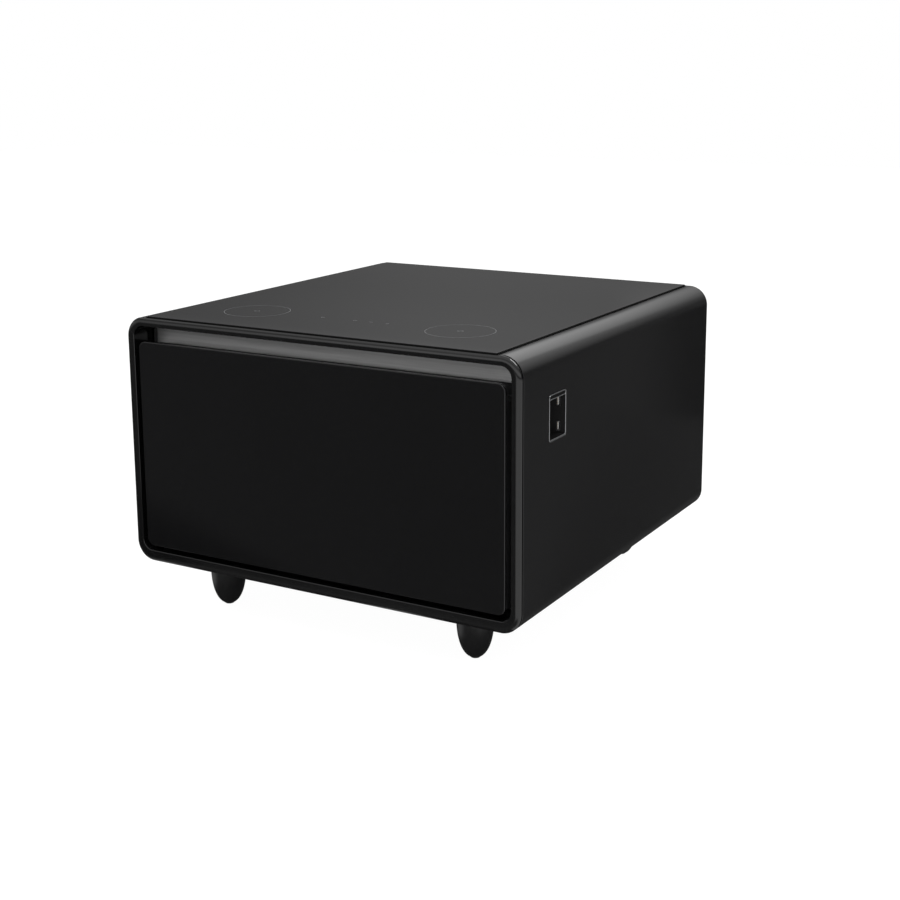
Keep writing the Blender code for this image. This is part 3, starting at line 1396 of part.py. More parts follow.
def make_drip_tray():
    """Shallow pan on the compressor's crown, where its warmth dries the defrost water."""
    x, y = PIPE_SIDE, MACHINE_MIDDLE
    low = COMPRESSOR_TOP + SEAT_GAP
    foot = Patch(x - DRIP_LENGTH / 2, y - DRIP_WIDTH / 2, x + DRIP_LENGTH / 2, y + DRIP_WIDTH / 2, LINER_RADIUS)
    foot = foot.grown(-DRIP_WALL)
    sections = [(foot, low), (foot.grown(DRIP_WALL), low + DRIP_HEIGHT)]
    pan = loft("drip_tray", "Z", sections, DARK_PLASTIC)
    inside = [(foot.grown(-DRIP_WALL), low + DRIP_WALL), (foot, low + DRIP_HEIGHT), (foot, low + DRIP_HEIGHT + OVERRUN)]
    cut(pan, loft("drip_hollow", "Z", inside))


def make_condenser():
    """One tube run to and fro through a stack of fins."""
    x = CONDENSER_ACROSS
    far = MACHINE_MIDDLE + FIN_SPAN / 2
    corners = serpentine(
        (x, TURN_FAR, CONDENSER_LAST), (0, -1, 0), (0, 0, -1), TURN_FAR - TURN_NEAR, PASS_PITCH, CONDENSER_PASSES
    )
    corners.insert(0, Vector((x, TURN_FAR, CONDENSER_LAST + STUB_LENGTH)))
    corners.append(Vector((x - CONDENSER_LENGTH / 2, TURN_NEAR, CONDENSER_FIRST)))
    route = rounded_route(corners, PASS_PITCH / 2)
    tube = solid("condenser", skin(tube_rings(route, CONDENSER_TUBE, 8)), COPPER)
    fins = []
    for fin in range(FIN_COUNT):
        y = far - FIN_PITCH * fin
        outline = [
            (x - CONDENSER_LENGTH / 2, CONDENSER_FLOOR),
            (x + CONDENSER_LENGTH / 2, CONDENSER_FLOOR),
            (x + CONDENSER_LENGTH / 2, CONDENSER_FLOOR + CONDENSER_HEIGHT),
            (x - CONDENSER_LENGTH / 2, CONDENSER_FLOOR + CONDENSER_HEIGHT),
        ]
        fins.append(
            [in_plane("Y", outline, y - FIN_THICKNESS / 2), in_plane("Y", outline, y + FIN_THICKNESS / 2)]
        )
    add(tube, several("condenser_fins", fins))


def make_pipes():
    """Filter drier and the pipes that join compressor, condenser and evaporator."""
    y = TURN_NEAR
    z = CONDENSER_FIRST
    start = DRIER_START
    end = start - DRIER_LENGTH
    neck = CONDENSER_TUBE
    profile = [(start, neck), (start - DRIER_NECK / 2, neck), (start - DRIER_NECK, DRIER_RADIUS)]
    profile += [(end + DRIER_NECK, DRIER_RADIUS), (end + DRIER_NECK / 2, neck), (end, neck)]
    rings = [in_plane("X", circle(radius, 16, (y, z)), level) for level, radius in profile]
    solid("filter_drier", skin(rings), COPPER, smooth=True)
    stub = EVAPORATOR_WIDTH / 2 + CAPILLARY_RADIUS + SEAT_GAP
    pipe(
        "capillary_tube",
        [
            (-stub, EVAPORATOR_LINE, EVAPORATOR_FIRST),
            (-PIPE_SIDE, EVAPORATOR_LINE, EVAPORATOR_FIRST),
            (-PIPE_SIDE, y, EVAPORATOR_FIRST),
            (-PIPE_SIDE, y, z),
            (end - SEAT_GAP, y, z),
        ],
        CAPILLARY_RADIUS,
        COPPER,
    )
    behind = FOAM_BACK + SUCTION_SETBACK
    entry = COMPRESSOR_BASE + SUCTION_HEIGHT
    pipe(
        "suction_pipe",
        [
            (stub, EVAPORATOR_LINE, EVAPORATOR_LAST),
            (PIPE_SIDE, EVAPORATOR_LINE, EVAPORATOR_LAST),
            (PIPE_SIDE, behind, EVAPORATOR_LAST),
            (PIPE_SIDE, behind, entry),
            (PIPE_SIDE, MACHINE_MIDDLE - COMPRESSOR_RADIUS - SEAT_GAP, entry),
        ],
        SUCTION_RADIUS,
        COPPER,
    )
    left = PIPE_SIDE - COMPRESSOR_RADIUS - SEAT_GAP
    above = LARGE_FAN_HEIGHT + LARGE_FAN_SIZE / 2 + DISCHARGE_RISE
    outlet = COMPRESSOR_BASE + DISCHARGE_HEIGHT
    pipe(
        "discharge_pipe",
        [
            (left, MACHINE_MIDDLE, outlet),
            (left - DISCHARGE_REACH, MACHINE_MIDDLE, outlet),
            (left - DISCHARGE_REACH, MACHINE_MIDDLE, above),
            (left - DISCHARGE_REACH, TURN_FAR, above),
            (CONDENSER_ACROSS, TURN_FAR, above),
            (CONDENSER_ACROSS, TURN_FAR, CONDENSER_LAST + STUB_LENGTH + SEAT_GAP),
        ],
        DISCHARGE_RADIUS,
        COPPER,
    )


def make_power_supply():
    """Closed supply with cooling fins along its top."""
    left = -HALF_WIDTH + CORNER_RADIUS + SUPPLY_SIDE_GAP
    far = BACK_PANEL_INSIDE - MACHINE_MARGIN - SUPPLY_BACK_GAP
    low = MACHINE_FLOOR + SEAT_GAP
    high = low + SUPPLY_HEIGHT
    body = box(
        "power_supply",
        (left, far - SUPPLY_WIDTH, low),
        (left + SUPPLY_LENGTH, far, high),
        SATIN_ALUMINIUM,
    )
    fins = []
    for fin in range(SUPPLY_FINS):
        y = far - SUPPLY_WIDTH * (fin + 0.5) / SUPPLY_FINS
        outline = [
            (left + SUPPLY_FIN, y - SUPPLY_FIN / 2),
            (left + SUPPLY_LENGTH - SUPPLY_FIN, y - SUPPLY_FIN / 2),
            (left + SUPPLY_LENGTH - SUPPLY_FIN, y + SUPPLY_FIN / 2),
            (left + SUPPLY_FIN, y + SUPPLY_FIN / 2),
        ]
        fins.append([in_plane("Z", outline, high - SUPPLY_FIN), in_plane("Z", outline, high + SUPPLY_FIN_HEIGHT)])
    add(body, several("supply_fins", fins))


def make_control_board():
    """Upright board on posts from the insulated wall, with its relays and capacitors."""
    left = -HALF_WIDTH + CORNER_RADIUS + SUPPLY_SIDE_GAP
    low = MACHINE_FLOOR + SEAT_GAP + SUPPLY_HEIGHT + SUPPLY_FIN_HEIGHT + BOARD_LIFT
    near = FOAM_BACK + SEAT_GAP
    face = near + BOARD_STANDOFF
    x = left + BOARD_LENGTH / 2
    z = low + BOARD_HEIGHT / 2
    board = box(
        "control_board",
        (left, face, low),
        (left + BOARD_LENGTH, face + BOARD_THICKNESS, low + BOARD_HEIGHT),
        GREEN_BOARD,
    )
    extras = []
    inside = face + BOARD_THICKNESS / 2
    for across in (-BOARD_POST_SHARE, BOARD_POST_SHARE):
        for up in (-BOARD_POST_SHARE, BOARD_POST_SHARE):
            ring = circle(BOARD_POST_RADIUS, 8, (x + across * BOARD_LENGTH, z + up * BOARD_HEIGHT))
            extras.append([in_plane("Y", ring, near), in_plane("Y", ring, inside)])
    for share in CAPACITOR_SHARES:
        ring = circle(CAPACITOR_RADIUS, 12, (x + share * BOARD_LENGTH, z - BOARD_HEIGHT / 4))
        extras.append([in_plane("Y", ring, inside), in_plane("Y", ring, inside + CAPACITOR_HEIGHT)])
    for share in RELAY_SHARES:
        left_edge = x + share * BOARD_LENGTH
        low_edge = z + RELAY_WIDTH / 2
        relay = Patch(
            left_edge, low_edge, left_edge + RELAY_LENGTH, low_edge + RELAY_WIDTH, BOARD_THICKNESS
        )
        points = relay.outline(2)
        extras.append([in_plane("Y", points, inside), in_plane("Y", points, inside + RELAY_HEIGHT)])
    add(board, several("board_parts", extras))


def niche_face():
    """The niche's two ends, the slope of the face at its rear end and that face's depth at the sockets."""
    near = HOUSING.left + NICHE_SIDE
    far = HOUSING.right - NICHE_SIDE
    slope = (NICHE_DEEP - NICHE_SHALLOW) / NICHE_RUN
    depth = NICHE_SHALLOW + slope * (far - PORT_PLACE)
    return near, far, slope, depth


def make_charge_ports():
    """Housing let into the right side, with a niche whose rear face turns to the front and holds two sockets."""
    near, far, slope, depth = niche_face()
    edge = HOUSING_EDGE
    sections = [
        (HOUSING, HALF_WIDTH - HOUSING_DEPTH),
        (HOUSING, HALF_WIDTH - edge),
        (HOUSING.grown(-edge), HALF_WIDTH),
    ]
    housing = loft("charge_port_housing", "X", sections, GLOSS_BLACK)
    room = prism("port_room", "X", PORT_ROOM, HALF_WIDTH - PORT_ROOM_DEPTH, INSIDE.right)
    add(housing, room)
    outline = [
        (HALF_WIDTH + OVERRUN, near),
        (HALF_WIDTH + OVERRUN, far),
        (HALF_WIDTH - NICHE_SHALLOW, far),
        (HALF_WIDTH - NICHE_DEEP, far - NICHE_RUN),
        (HALF_WIDTH - NICHE_DEEP, near),
    ]
    niche = prism("port_niche", "Z", outline, HOUSING.low + NICHE_BOTTOM, HOUSING.high - NICHE_TOP)
    cut(housing, niche)
    rotation = Matrix.Rotation(-math.atan(slope), 4, "Z")
    for name, drop in (("upper", UPPER_PORT_DROP), ("lower", LOWER_PORT_DROP)):
        place = Vector((HALF_WIDTH - depth, PORT_PLACE, HOUSING.high - drop))
        port, seat = make_port(f"charge_port_{name}")
        turn_about(port, place, rotation)
        turn_about(seat, place, rotation)
        cut(housing, seat)


def make_port(name):
    """One socket about its own axis: a thin shell, closed at the back, with a tongue inside. The seat is its hole."""
    shell = Patch(-PORT_WIDTH / 2, -PORT_HEIGHT / 2, PORT_WIDTH / 2, PORT_HEIGHT / 2, PORT_SHEET)
    port = prism(name, "X", shell, -PORT_LENGTH, 0.0, ZINC_STEEL, origin=(0, 0, 0))
    inside = shell.grown(-PORT_SHEET)._replace(radius=0.0)
    hollow = prism(f"{name}_hollow", "X", inside, PORT_BACK - PORT_LENGTH, OVERRUN, origin=(0, 0, 0))
    tongue_patch = Patch(
        inside.right - 2 * PORT_TONGUE,
        -PORT_TONGUE_HEIGHT / 2,
        inside.right - PORT_TONGUE,
        PORT_TONGUE_HEIGHT / 2,
        0.0,
    )
    tongue = prism(
        f"{name}_tongue", "X", tongue_patch, PORT_BACK / 2 - PORT_LENGTH, -PORT_BACK / 2, origin=(0, 0, 0)
    )
    seat_patch = shell.grown(SEAT_GAP)
    seat = prism(f"{name}_seat", "X", seat_patch, -PORT_LENGTH - SEAT_GAP, OVERRUN, origin=(0, 0, 0))
    hidden(seat)
    cut(port, hollow)
    add(port, tongue)
    for helper in (hollow, tongue):
        helper.parent = port
    return port, seat


def make_drawer():
    """Everything that runs out with the drawer, and the middle slide members that follow at half its travel."""
    runners, middles = make_slides()
    pieces = [
        make_drawer_glass(),
        make_drawer_front_frame(),
        make_grip_strip(),
        make_drawer_back_panel(),
        make_drawer_gasket(),
        make_drawer_basket(),
        make_basket_divider(),
    ]
    carry("drawer_slide", (0.0, FRONT, SLIDE_MIDDLE), *pieces, *runners)
    carry("middle_slide", (0.0, SLIDE_FRONT, SLIDE_MIDDLE), *middles)


def make_table():
    clear_scene()
    make_feet()
    make_outer_shell()
    make_front_bezel()
    make_glass_top()
    make_top_tray()
    make_charging_pads()
    make_touch_board()
    make_inner_liner()
    make_insulation()
    make_back_panel()
    make_power_inlet()
    make_drawer()
    make_liner_light()
    make_evaporator()
    make_evaporator_cover()
    make_fan(
        "evaporator_fan",
        SMALL_FAN_SIZE,
        SMALL_FAN_DEPTH,
        Vector((0.0, SMALL_FAN_MIDDLE, SMALL_FAN_HEIGHT)),
        Matrix.Rotation(math.pi / 2, 4, "X"),
    )
    make_machine_base()
    make_compressor()
    make_terminal_box()
    make_drip_tray()
    make_fan(
        "condenser_fan",
        LARGE_FAN_SIZE,
        LARGE_FAN_DEPTH,
        Vector((LARGE_FAN_ACROSS, MACHINE_MIDDLE, LARGE_FAN_HEIGHT)),
        Matrix.Rotation(math.pi / 2, 4, "Y"),
    )
    make_condenser()
    make_pipes()
    make_power_supply()
    make_control_board()
    make_charge_ports()


make_table()
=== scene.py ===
import math

import bmesh
import bpy
from mathutils import Matrix, Vector


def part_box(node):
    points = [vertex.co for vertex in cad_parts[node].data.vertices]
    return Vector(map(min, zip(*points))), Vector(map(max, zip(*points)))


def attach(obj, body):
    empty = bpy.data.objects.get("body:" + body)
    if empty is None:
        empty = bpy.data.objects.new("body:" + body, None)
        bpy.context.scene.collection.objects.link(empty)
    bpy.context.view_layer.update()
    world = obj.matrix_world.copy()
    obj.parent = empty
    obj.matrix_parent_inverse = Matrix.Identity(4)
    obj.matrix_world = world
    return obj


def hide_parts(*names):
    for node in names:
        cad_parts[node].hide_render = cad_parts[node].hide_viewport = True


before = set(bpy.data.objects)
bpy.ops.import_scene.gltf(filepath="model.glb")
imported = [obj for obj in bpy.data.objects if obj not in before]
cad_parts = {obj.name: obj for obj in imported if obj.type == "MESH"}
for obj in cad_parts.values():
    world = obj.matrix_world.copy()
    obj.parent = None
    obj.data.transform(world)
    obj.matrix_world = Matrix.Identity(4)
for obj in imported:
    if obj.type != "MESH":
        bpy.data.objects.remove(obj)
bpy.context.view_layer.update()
print("frame loaded with", len(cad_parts), "nodes")

# the cabinet's own measures in metres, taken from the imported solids
shellLow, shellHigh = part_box("outer_shell")
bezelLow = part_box("front_bezel")[0]
glassLow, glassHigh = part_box("glass_top")
glassRect = (glassLow.x, glassLow.y, glassHigh.x, glassHigh.y)
panelLow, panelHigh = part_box("drawer_glass")
housingLow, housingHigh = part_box("charge_port_housing")
# behind the shell's wall the housing runs on backwards by this much, to hold the sockets
portRoom = 0.0078
housingHigh.y -= portRoom
cabinet = {
    "half": shellHigh.x,
    "front": bezelLow.y,
    "back": shellHigh.y,
    "base": shellLow.z,
    "top": shellHigh.z,
    "corner": 0.030,
    "wall": 0.003,
    "seat": 0.0003,
    "overrun": 0.010,
}


def linear(hexText):
    # sRGB hex into the linear values that the sockets take
    levels = [int(hexText[start : start + 2], 16) / 255 for start in (0, 2, 4)]
    return (*[v / 12.92 if v <= 0.04045 else ((v + 0.055) / 1.055) ** 2.4 for v in levels], 1.0)


def addNode(tree, kind, inputs=None, **settings):
    made = tree.nodes.new("ShaderNode" + kind)
    for name, value in settings.items():
        setattr(made, name, value)
    for socket, value in (inputs or {}).items():
        if isinstance(value, bpy.types.NodeSocket):
            tree.links.new(value, made.inputs[socket])
        else:
            made.inputs[socket].default_value = value
    return made


def startMaterial(name, sockets):
    material = bpy.data.materials.new(name)
    material.use_nodes = True
    shader = material.node_tree.nodes["Principled BSDF"]
    for socket, value in sockets.items():
        shader.inputs[socket].default_value = value
    return material, material.node_tree, shader


# grain keeps to this middle part of its range, which is drawn out to the whole
grainRange = (0.3, 0.7)


def surface(look):
    # one layer of grain drives colour, roughness and relief; stretch draws the grain out along an axis
    material, tree, shader = startMaterial(look["name"], look.get("sockets", {}))
    place = addNode(tree, "TexCoord").outputs["Object"]
    spread = [1.0 / (look["grain"] * share) for share in look.get("stretch", (1.0, 1.0, 1.0))]
    scaled = addNode(tree, "Mapping", {"Vector": place, "Scale": spread}).outputs["Vector"]
    if look.get("cells"):
        grain = addNode(tree, "TexVoronoi", {"Vector": scaled, "Scale": 1.0}, feature="F1")
        level = addNode(tree, "SeparateColor", {"Color": grain.outputs["Color"]}).outputs["Red"]
        relief = grain.outputs["Distance"]
    else:
        grain = addNode(tree, "TexNoise", {"Vector": scaled, "Scale": 1.0, "Detail": 3.0})
        level = relief = grain.outputs["Fac"]
    span = {"Value": level, "From Min": grainRange[0], "From Max": grainRange[1]}
    share = addNode(tree, "MapRange", span).outputs["Result"]
    ends = {6: linear(look["colours"][0]), 7: linear(look["colours"][1])}
    colour = addNode(tree, "Mix", {0: share, **ends}, data_type="RGBA")
    tree.links.new(colour.outputs[2], shader.inputs["Base Color"])
    rough = addNode(tree, "MapRange", {**span, "To Min": look["rough"][0], "To Max": look["rough"][1]})
    tree.links.new(rough.outputs["Result"], shader.inputs["Roughness"])
    if look.get("relief"):
        bump = addNode(tree, "Bump", {"Height": relief, "Strength": look["bite"], "Distance": look["relief"]})
        tree.links.new(bump.outputs["Normal"], shader.inputs["Normal"])
    return material


# spray-painted sheet steel: an even satin black whose orange peel only just stirs the highlights
satinPaint = surface({
    "name": "paintedSteelSatinBlack", "colours": ("0b0b0c", "0e0e0f"), "grain": 0.0035,
    "rough": (0.15, 0.18), "relief": 0.00001, "bite": 0.15, "sockets": {"IOR": 1.5},
})
# injection-moulded ABS from a polished tool: deep gloss with a slow waviness from shrinkage
glossMoulding = surface({
    "name": "mouldedAbsGlossBlack", "colours": ("090909", "0c0c0d"), "grain": 0.012,
    "rough": (0.10, 0.14), "relief": 0.00004, "bite": 0.2, "sockets": {"IOR": 1.53},
})
# injection-moulded ABS from a lightly blasted tool: a soft sheen, as on the feet
satinMoulding = surface({
    "name": "mouldedAbsSatinBlack", "colours": ("1a1a1a", "202021"), "grain": 0.0012,
    "rough": (0.30, 0.38), "relief": 0.00002, "bite": 0.3, "sockets": {"IOR": 1.53},
})
# spark-eroded ABS: dull pebbled black of parts that nobody looks at; its 1 mm pebbles are coarser than real
pebbledMoulding = surface({
    "name": "mouldedAbsPebbledBlack", "colours": ("161616", "1e1e1f"), "grain": 0.0010,
    "cells": True, "rough": (0.45, 0.58), "relief": 0.00006, "bite": 0.4, "sockets": {"IOR": 1.53},
})
# the same spark-eroded ABS, made lighter: painted light for the dark gap round the drawer glass, so that it
# isn't a hole
pebbledMouldingPaintedLight = surface({
    "name": "mouldedAbsPebbledPaintedLight", "colours": ("2c2c2d", "343435"), "grain": 0.0010,
    "cells": True, "rough": (0.45, 0.58), "relief": 0.00004, "bite": 0.3, "sockets": {"IOR": 1.53},
})
# zinc-plated sheet: grey spangles about 3 mm across, each with its own slight shade
zincSheet = surface({
    "name": "galvanisedSteelSpangled", "colours": ("9b9da1", "b4b6b9"), "grain": 0.003,
    "cells": True, "rough": (0.28, 0.42), "relief": 0.00001, "bite": 0.15,
    "sockets": {"Metallic": 1.0},
})
# powder-coated back sheet: fine black texture that keeps the light from glinting
powderCoat = surface({
    "name": "powderCoatedSteelBlack", "colours": ("121213", "1b1b1c"), "grain": 0.0009,
    "rough": (0.42, 0.55), "relief": 0.00005, "bite": 0.5, "sockets": {"IOR": 1.5},
})
# vacuum-formed polystyrene: clean white with a slow swell where the sheet was drawn
formedLiner = surface({
    "name": "vacuumFormedPolystyreneWhite", "colours": ("dcdee0", "e6e7e8"), "grain": 0.030,
    "rough": (0.28, 0.34), "relief": 0.00005, "bite": 0.15,
    "sockets": {"IOR": 1.59, "Subsurface Weight": 0.08, "Subsurface Scale": 0.004},
})
# injection-moulded polypropylene: milky white, a little waxy, with a faint flow pattern
mouldedBasket = surface({
    "name": "mouldedPolypropyleneWhite", "colours": ("dadcde", "e0e2e3"), "grain": 0.018,
    "stretch": (1.0, 0.5, 2.0), "rough": (0.34, 0.40), "relief": 0.00002, "bite": 0.15,
    "sockets": {"IOR": 1.49, "Subsurface Weight": 0.15, "Subsurface Scale": 0.005},
})
# rigid polyurethane foam: pale yellow, closed cells about 1.5 mm across, coarser than real to show
rigidFoam = surface({
    "name": "polyurethaneFoamPoured", "colours": ("d9c792", "e8dab0"), "grain": 0.0015,
    "cells": True, "rough": (0.80, 0.95), "relief": 0.0004, "bite": 0.6,
})
# extruded soft PVC: grey seal with a dull skin
softSeal = surface({
    "name": "extrudedPvcGrey", "colours": ("6d6f72", "7c7e81"), "grain": 0.004,
    "stretch": (3.0, 1.0, 3.0), "rough": (0.50, 0.62), "relief": 0.00003, "bite": 0.3,
    "sockets": {"IOR": 1.53},
})
# compression-moulded rubber: dark grey with a dusty bloom
dampingRubber = surface({
    "name": "mouldedRubberGrey", "colours": ("3a3a3b", "4c4c4d"), "grain": 0.003,
    "rough": (0.72, 0.88), "relief": 0.00005, "bite": 0.4,
})
# dipped enamel on the compressor's pot: black with thick, slightly sagging gloss
potEnamel = surface({
    "name": "enamelledSteelBlack", "colours": ("0d0d0e", "151516"), "grain": 0.007,
    "stretch": (1.0, 1.0, 2.0), "rough": (0.22, 0.34), "relief": 0.00010, "bite": 0.3,
    "sockets": {"IOR": 1.5},
})
# drawn copper: warm metal with brown oxide clouds a few millimetres across
drawnCopper = surface({
    "name": "drawnCopperTarnished", "colours": ("b5714f", "d39a78"), "grain": 0.008,
    "rough": (0.24, 0.42), "relief": 0.00002, "bite": 0.2, "sockets": {"Metallic": 1.0},
})
# rolled aluminium: pale metal with fine roll lines along X, about 0.5 mm apart
rolledAluminium = surface({
    "name": "rolledAluminiumMill", "colours": ("b9bbbe", "cfd1d3"), "grain": 0.0006,
    "stretch": (60.0, 1.0, 1.0), "rough": (0.26, 0.40), "relief": 0.00001, "bite": 0.3,
    "sockets": {"Metallic": 1.0},
})
# blackened spring steel: the socket's shell, dark enough to leave the tongue as the bright line
darkSteel = surface({
    "name": "blackenedSteelDrawn", "colours": ("3a3a3b", "48484a"), "grain": 0.0004,
    "stretch": (12.0, 1.0, 1.0), "rough": (0.28, 0.40), "relief": 0.000004, "bite": 0.2,
    "sockets": {"Metallic": 1.0},
})
# white PBT: the tongue in each socket, clean and slightly waxy
tonguePlastic = surface({
    "name": "mouldedPbtWhite", "colours": ("bcbcb9", "c8c8c6"), "grain": 0.0010,
    "rough": (0.35, 0.45), "sockets": {"IOR": 1.55},
})
# satin chrome over ABS: thin grey frame round the ports
trimChrome = surface({
    "name": "chromedAbsSatin", "colours": ("a8a9ab", "b4b5b7"), "grain": 0.0015,
    "rough": (0.26, 0.34), "sockets": {"Metallic": 1.0},
})
# gold-flashed contacts: small warm glints
goldFlash = surface({
    "name": "goldPlatedContact", "colours": ("d9ae5c", "e6c078"), "grain": 0.0005,
    "rough": (0.18, 0.26), "sockets": {"Metallic": 1.0},
})
# zinc-plated screws: grey metal with a yellowish passivated cloud
screwZinc = surface({
    "name": "zincPlatedScrew", "colours": ("8f9092", "b0afa8"), "grain": 0.0015,
    "rough": (0.25, 0.40), "sockets": {"Metallic": 1.0},
})
# frosted polycarbonate: the light's lens, milky and dull on its outside
frostedLens = surface({
    "name": "polycarbonateFrosted", "colours": ("e4e9ec", "eef1f2"), "grain": 0.0008,
    "rough": (0.38, 0.48), "relief": 0.00003, "bite": 0.4,
    "sockets": {"IOR": 1.58, "Transmission Weight": 0.35, "Subsurface Weight": 0.2, "Subsurface Scale": 0.003},
})
# blasted ABS inside the port's niche: flat black that lets the bright sockets stand out
mattMoulding = surface({
    "name": "mouldedAbsMattBlack", "colours": ("050505", "090909"), "grain": 0.0012,
    "rough": (0.55, 0.65), "relief": 0.00002, "bite": 0.3,
    "sockets": {"IOR": 1.45, "Specular IOR Level": 0.15},
})
# black silicone seal round the top pane and in the bezel's joint: dull enough to read as a drawn line; its
# black is partly the seal's own and partly painted shade for the shadow in those gaps
sealAndPaintedShade = surface({
    "name": "siliconeSealAndPaintedShade", "colours": ("040404", "070707"), "grain": 0.004,
    "rough": (0.60, 0.75), "relief": 0.00002, "bite": 0.2,
    "sockets": {"IOR": 1.41, "Specular IOR Level": 0.1},
})
# silk-screened ceramic ink under the glass: thin pale grey lines
printedInk = surface({
    "name": "ceramicInkPrinted", "colours": ("545557", "626365"), "grain": 0.0008,
    "rough": (0.30, 0.40), "sockets": {"IOR": 1.52},
})


def makeGlassFinish(look):
    # tempered float glass, painted black behind: one even depth, and a skin so flat that only the
    # slow roller wave of the tempering, about 60 mm from crest to crest, moves what it reflects
    material, tree, shader = startMaterial(look["name"], {"IOR": look["ior"], "Roughness": look["rough"]})
    place = addNode(tree, "TexCoord").outputs["Object"]
    paint = addNode(tree, "TexNoise", {"Vector": place, "Scale": 1.0 / look["cloud"], "Detail": 2.0})
    ends = {6: linear(look["colours"][0]), 7: linear(look["colours"][1])}
    tint = addNode(tree, "Mix", {0: paint.outputs["Fac"], **ends}, data_type="RGBA")
    tree.links.new(tint.outputs[2], shader.inputs["Base Color"])
    wave = addNode(tree, "TexNoise", {"Vector": place, "Scale": 1.0 / look["wave"], "Detail": 1.0})
    relief = {"Height": wave.outputs["Fac"], "Strength": look["bite"], "Distance": look["lift"]}
    bump = addNode(tree, "Bump", relief)
    tree.links.new(bump.outputs["Normal"], shader.inputs["Normal"])
    return material


topGlassFinish = makeGlassFinish({
    "name": "temperedGlassBlackTop", "colours": ("0e0e0f", "121213"), "rough": 0.05,
    "cloud": 0.09, "wave": 0.06, "lift": 0.00015, "bite": 0.12, "ior": 1.52,
})
drawerGlassFinish = makeGlassFinish({
    "name": "temperedGlassBlackDrawer", "colours": ("0a0a0b", "0d0d0e"), "rough": 0.10,
    "cloud": 0.12, "wave": 0.06, "lift": 0.0001, "bite": 0.12, "ior": 1.52,
})


def makeStripFinish(look):
    # anodised aluminium, brushed along its length before the bath: grey, with streaks of light and
    # shade that run with X; fine lines 0.4 mm apart over broad ones 2.5 mm apart
    material, tree, shader = startMaterial(look["name"], {"Metallic": 1.0})
    place = addNode(tree, "TexCoord").outputs["Object"]
    levels = []
    for pitch in (look["fine"], look["broad"]):
        spread = [1.0 / (pitch * share) for share in (look["run"], 1.0, 1.0)]
        brushed = addNode(tree, "Mapping", {"Vector": place, "Scale": spread}).outputs["Vector"]
        streaks = addNode(tree, "TexNoise", {"Vector": brushed, "Scale": 1.0, "Detail": 2.0})
        levels.append(streaks.outputs["Fac"])
    mixed = {0: look["broadShare"], 2: levels[0], 3: levels[1]}
    both = addNode(tree, "Mix", mixed, data_type="FLOAT").outputs[0]
    span = {"Value": both, "From Min": look["range"][0], "From Max": look["range"][1]}
    share = addNode(tree, "MapRange", span).outputs["Result"]
    ends = {6: linear(look["colours"][0]), 7: linear(look["colours"][1])}
    colour = addNode(tree, "Mix", {0: share, **ends}, data_type="RGBA")
    tree.links.new(colour.outputs[2], shader.inputs["Base Color"])
    rough = addNode(tree, "MapRange", {**span, "To Min": look["rough"][0], "To Max": look["rough"][1]})
    tree.links.new(rough.outputs["Result"], shader.inputs["Roughness"])
    bump = addNode(tree, "Bump", {"Height": levels[0], "Strength": look["bite"], "Distance": look["relief"]})
    tree.links.new(bump.outputs["Normal"], shader.inputs["Normal"])
    return material


stripFinish = makeStripFinish({
    "name": "anodisedAluminiumBrushed", "colours": ("b4b4b4", "c6c6c6"), "rough": (0.34, 0.46),
    "fine": 0.0004, "broad": 0.0025, "run": 120.0, "broadShare": 0.55, "range": (0.35, 0.65),
    "relief": 0.00002, "bite": 0.25,
})


def makeBoardFinish(look):
    # glass-epoxy board under green solder mask: darker green where there is no copper behind it,
    # tracks in rows of 2.5 mm, the usual hole pitch; its parts stand off the mask in their own colour
    material, tree, shader = startMaterial(look["name"], {"IOR": 1.55, "Roughness": 0.38})
    place = addNode(tree, "TexCoord").outputs["Object"]
    turned = addNode(tree, "Mapping", {"Vector": place, "Rotation": look["turn"]}).outputs["Vector"]
    colours = {"Color1": linear("1d5a34"), "Color2": linear("236a3d"), "Mortar": linear("16482a")}
    grid = {"Scale": 1.0, "Mortar Size": 0.0005, "Brick Width": 0.010, "Row Height": 0.0025}
    tracks = addNode(tree, "TexBrick", {"Vector": turned, **colours, **grid})
    split = addNode(tree, "SeparateXYZ", {"Vector": place})
    above = addNode(tree, "Math", {0: split.outputs[look["axis"]], 1: look["face"]}, operation="GREATER_THAN")
    ends = {6: tracks.outputs["Color"], 7: linear(look["parts"])}
    colour = addNode(tree, "Mix", {0: above.outputs["Value"], **ends}, data_type="RGBA")
    tree.links.new(colour.outputs[2], shader.inputs["Base Color"])
    bump = addNode(tree, "Bump", {"Height": tracks.outputs["Fac"], "Strength": 0.3, "Distance": 0.00003})
    tree.links.new(bump.outputs["Normal"], shader.inputs["Normal"])
    return material


# face is where a board's mask ends and its parts begin
controlBoardFinish = makeBoardFinish({
    "name": "glassEpoxyBoardControl", "parts": "1b1b1d", "turn": (math.pi / 2, 0.0, 0.0),
    "axis": "Y", "face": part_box("control_board")[0].y + 0.0089,
})
touchBoardFinish = makeBoardFinish({
    "name": "glassEpoxyBoardTouch", "parts": "c9a45a", "turn": (0.0, 0.0, 0.0),
    "axis": "Z", "face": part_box("touch_board")[1].z - 0.0011,
})


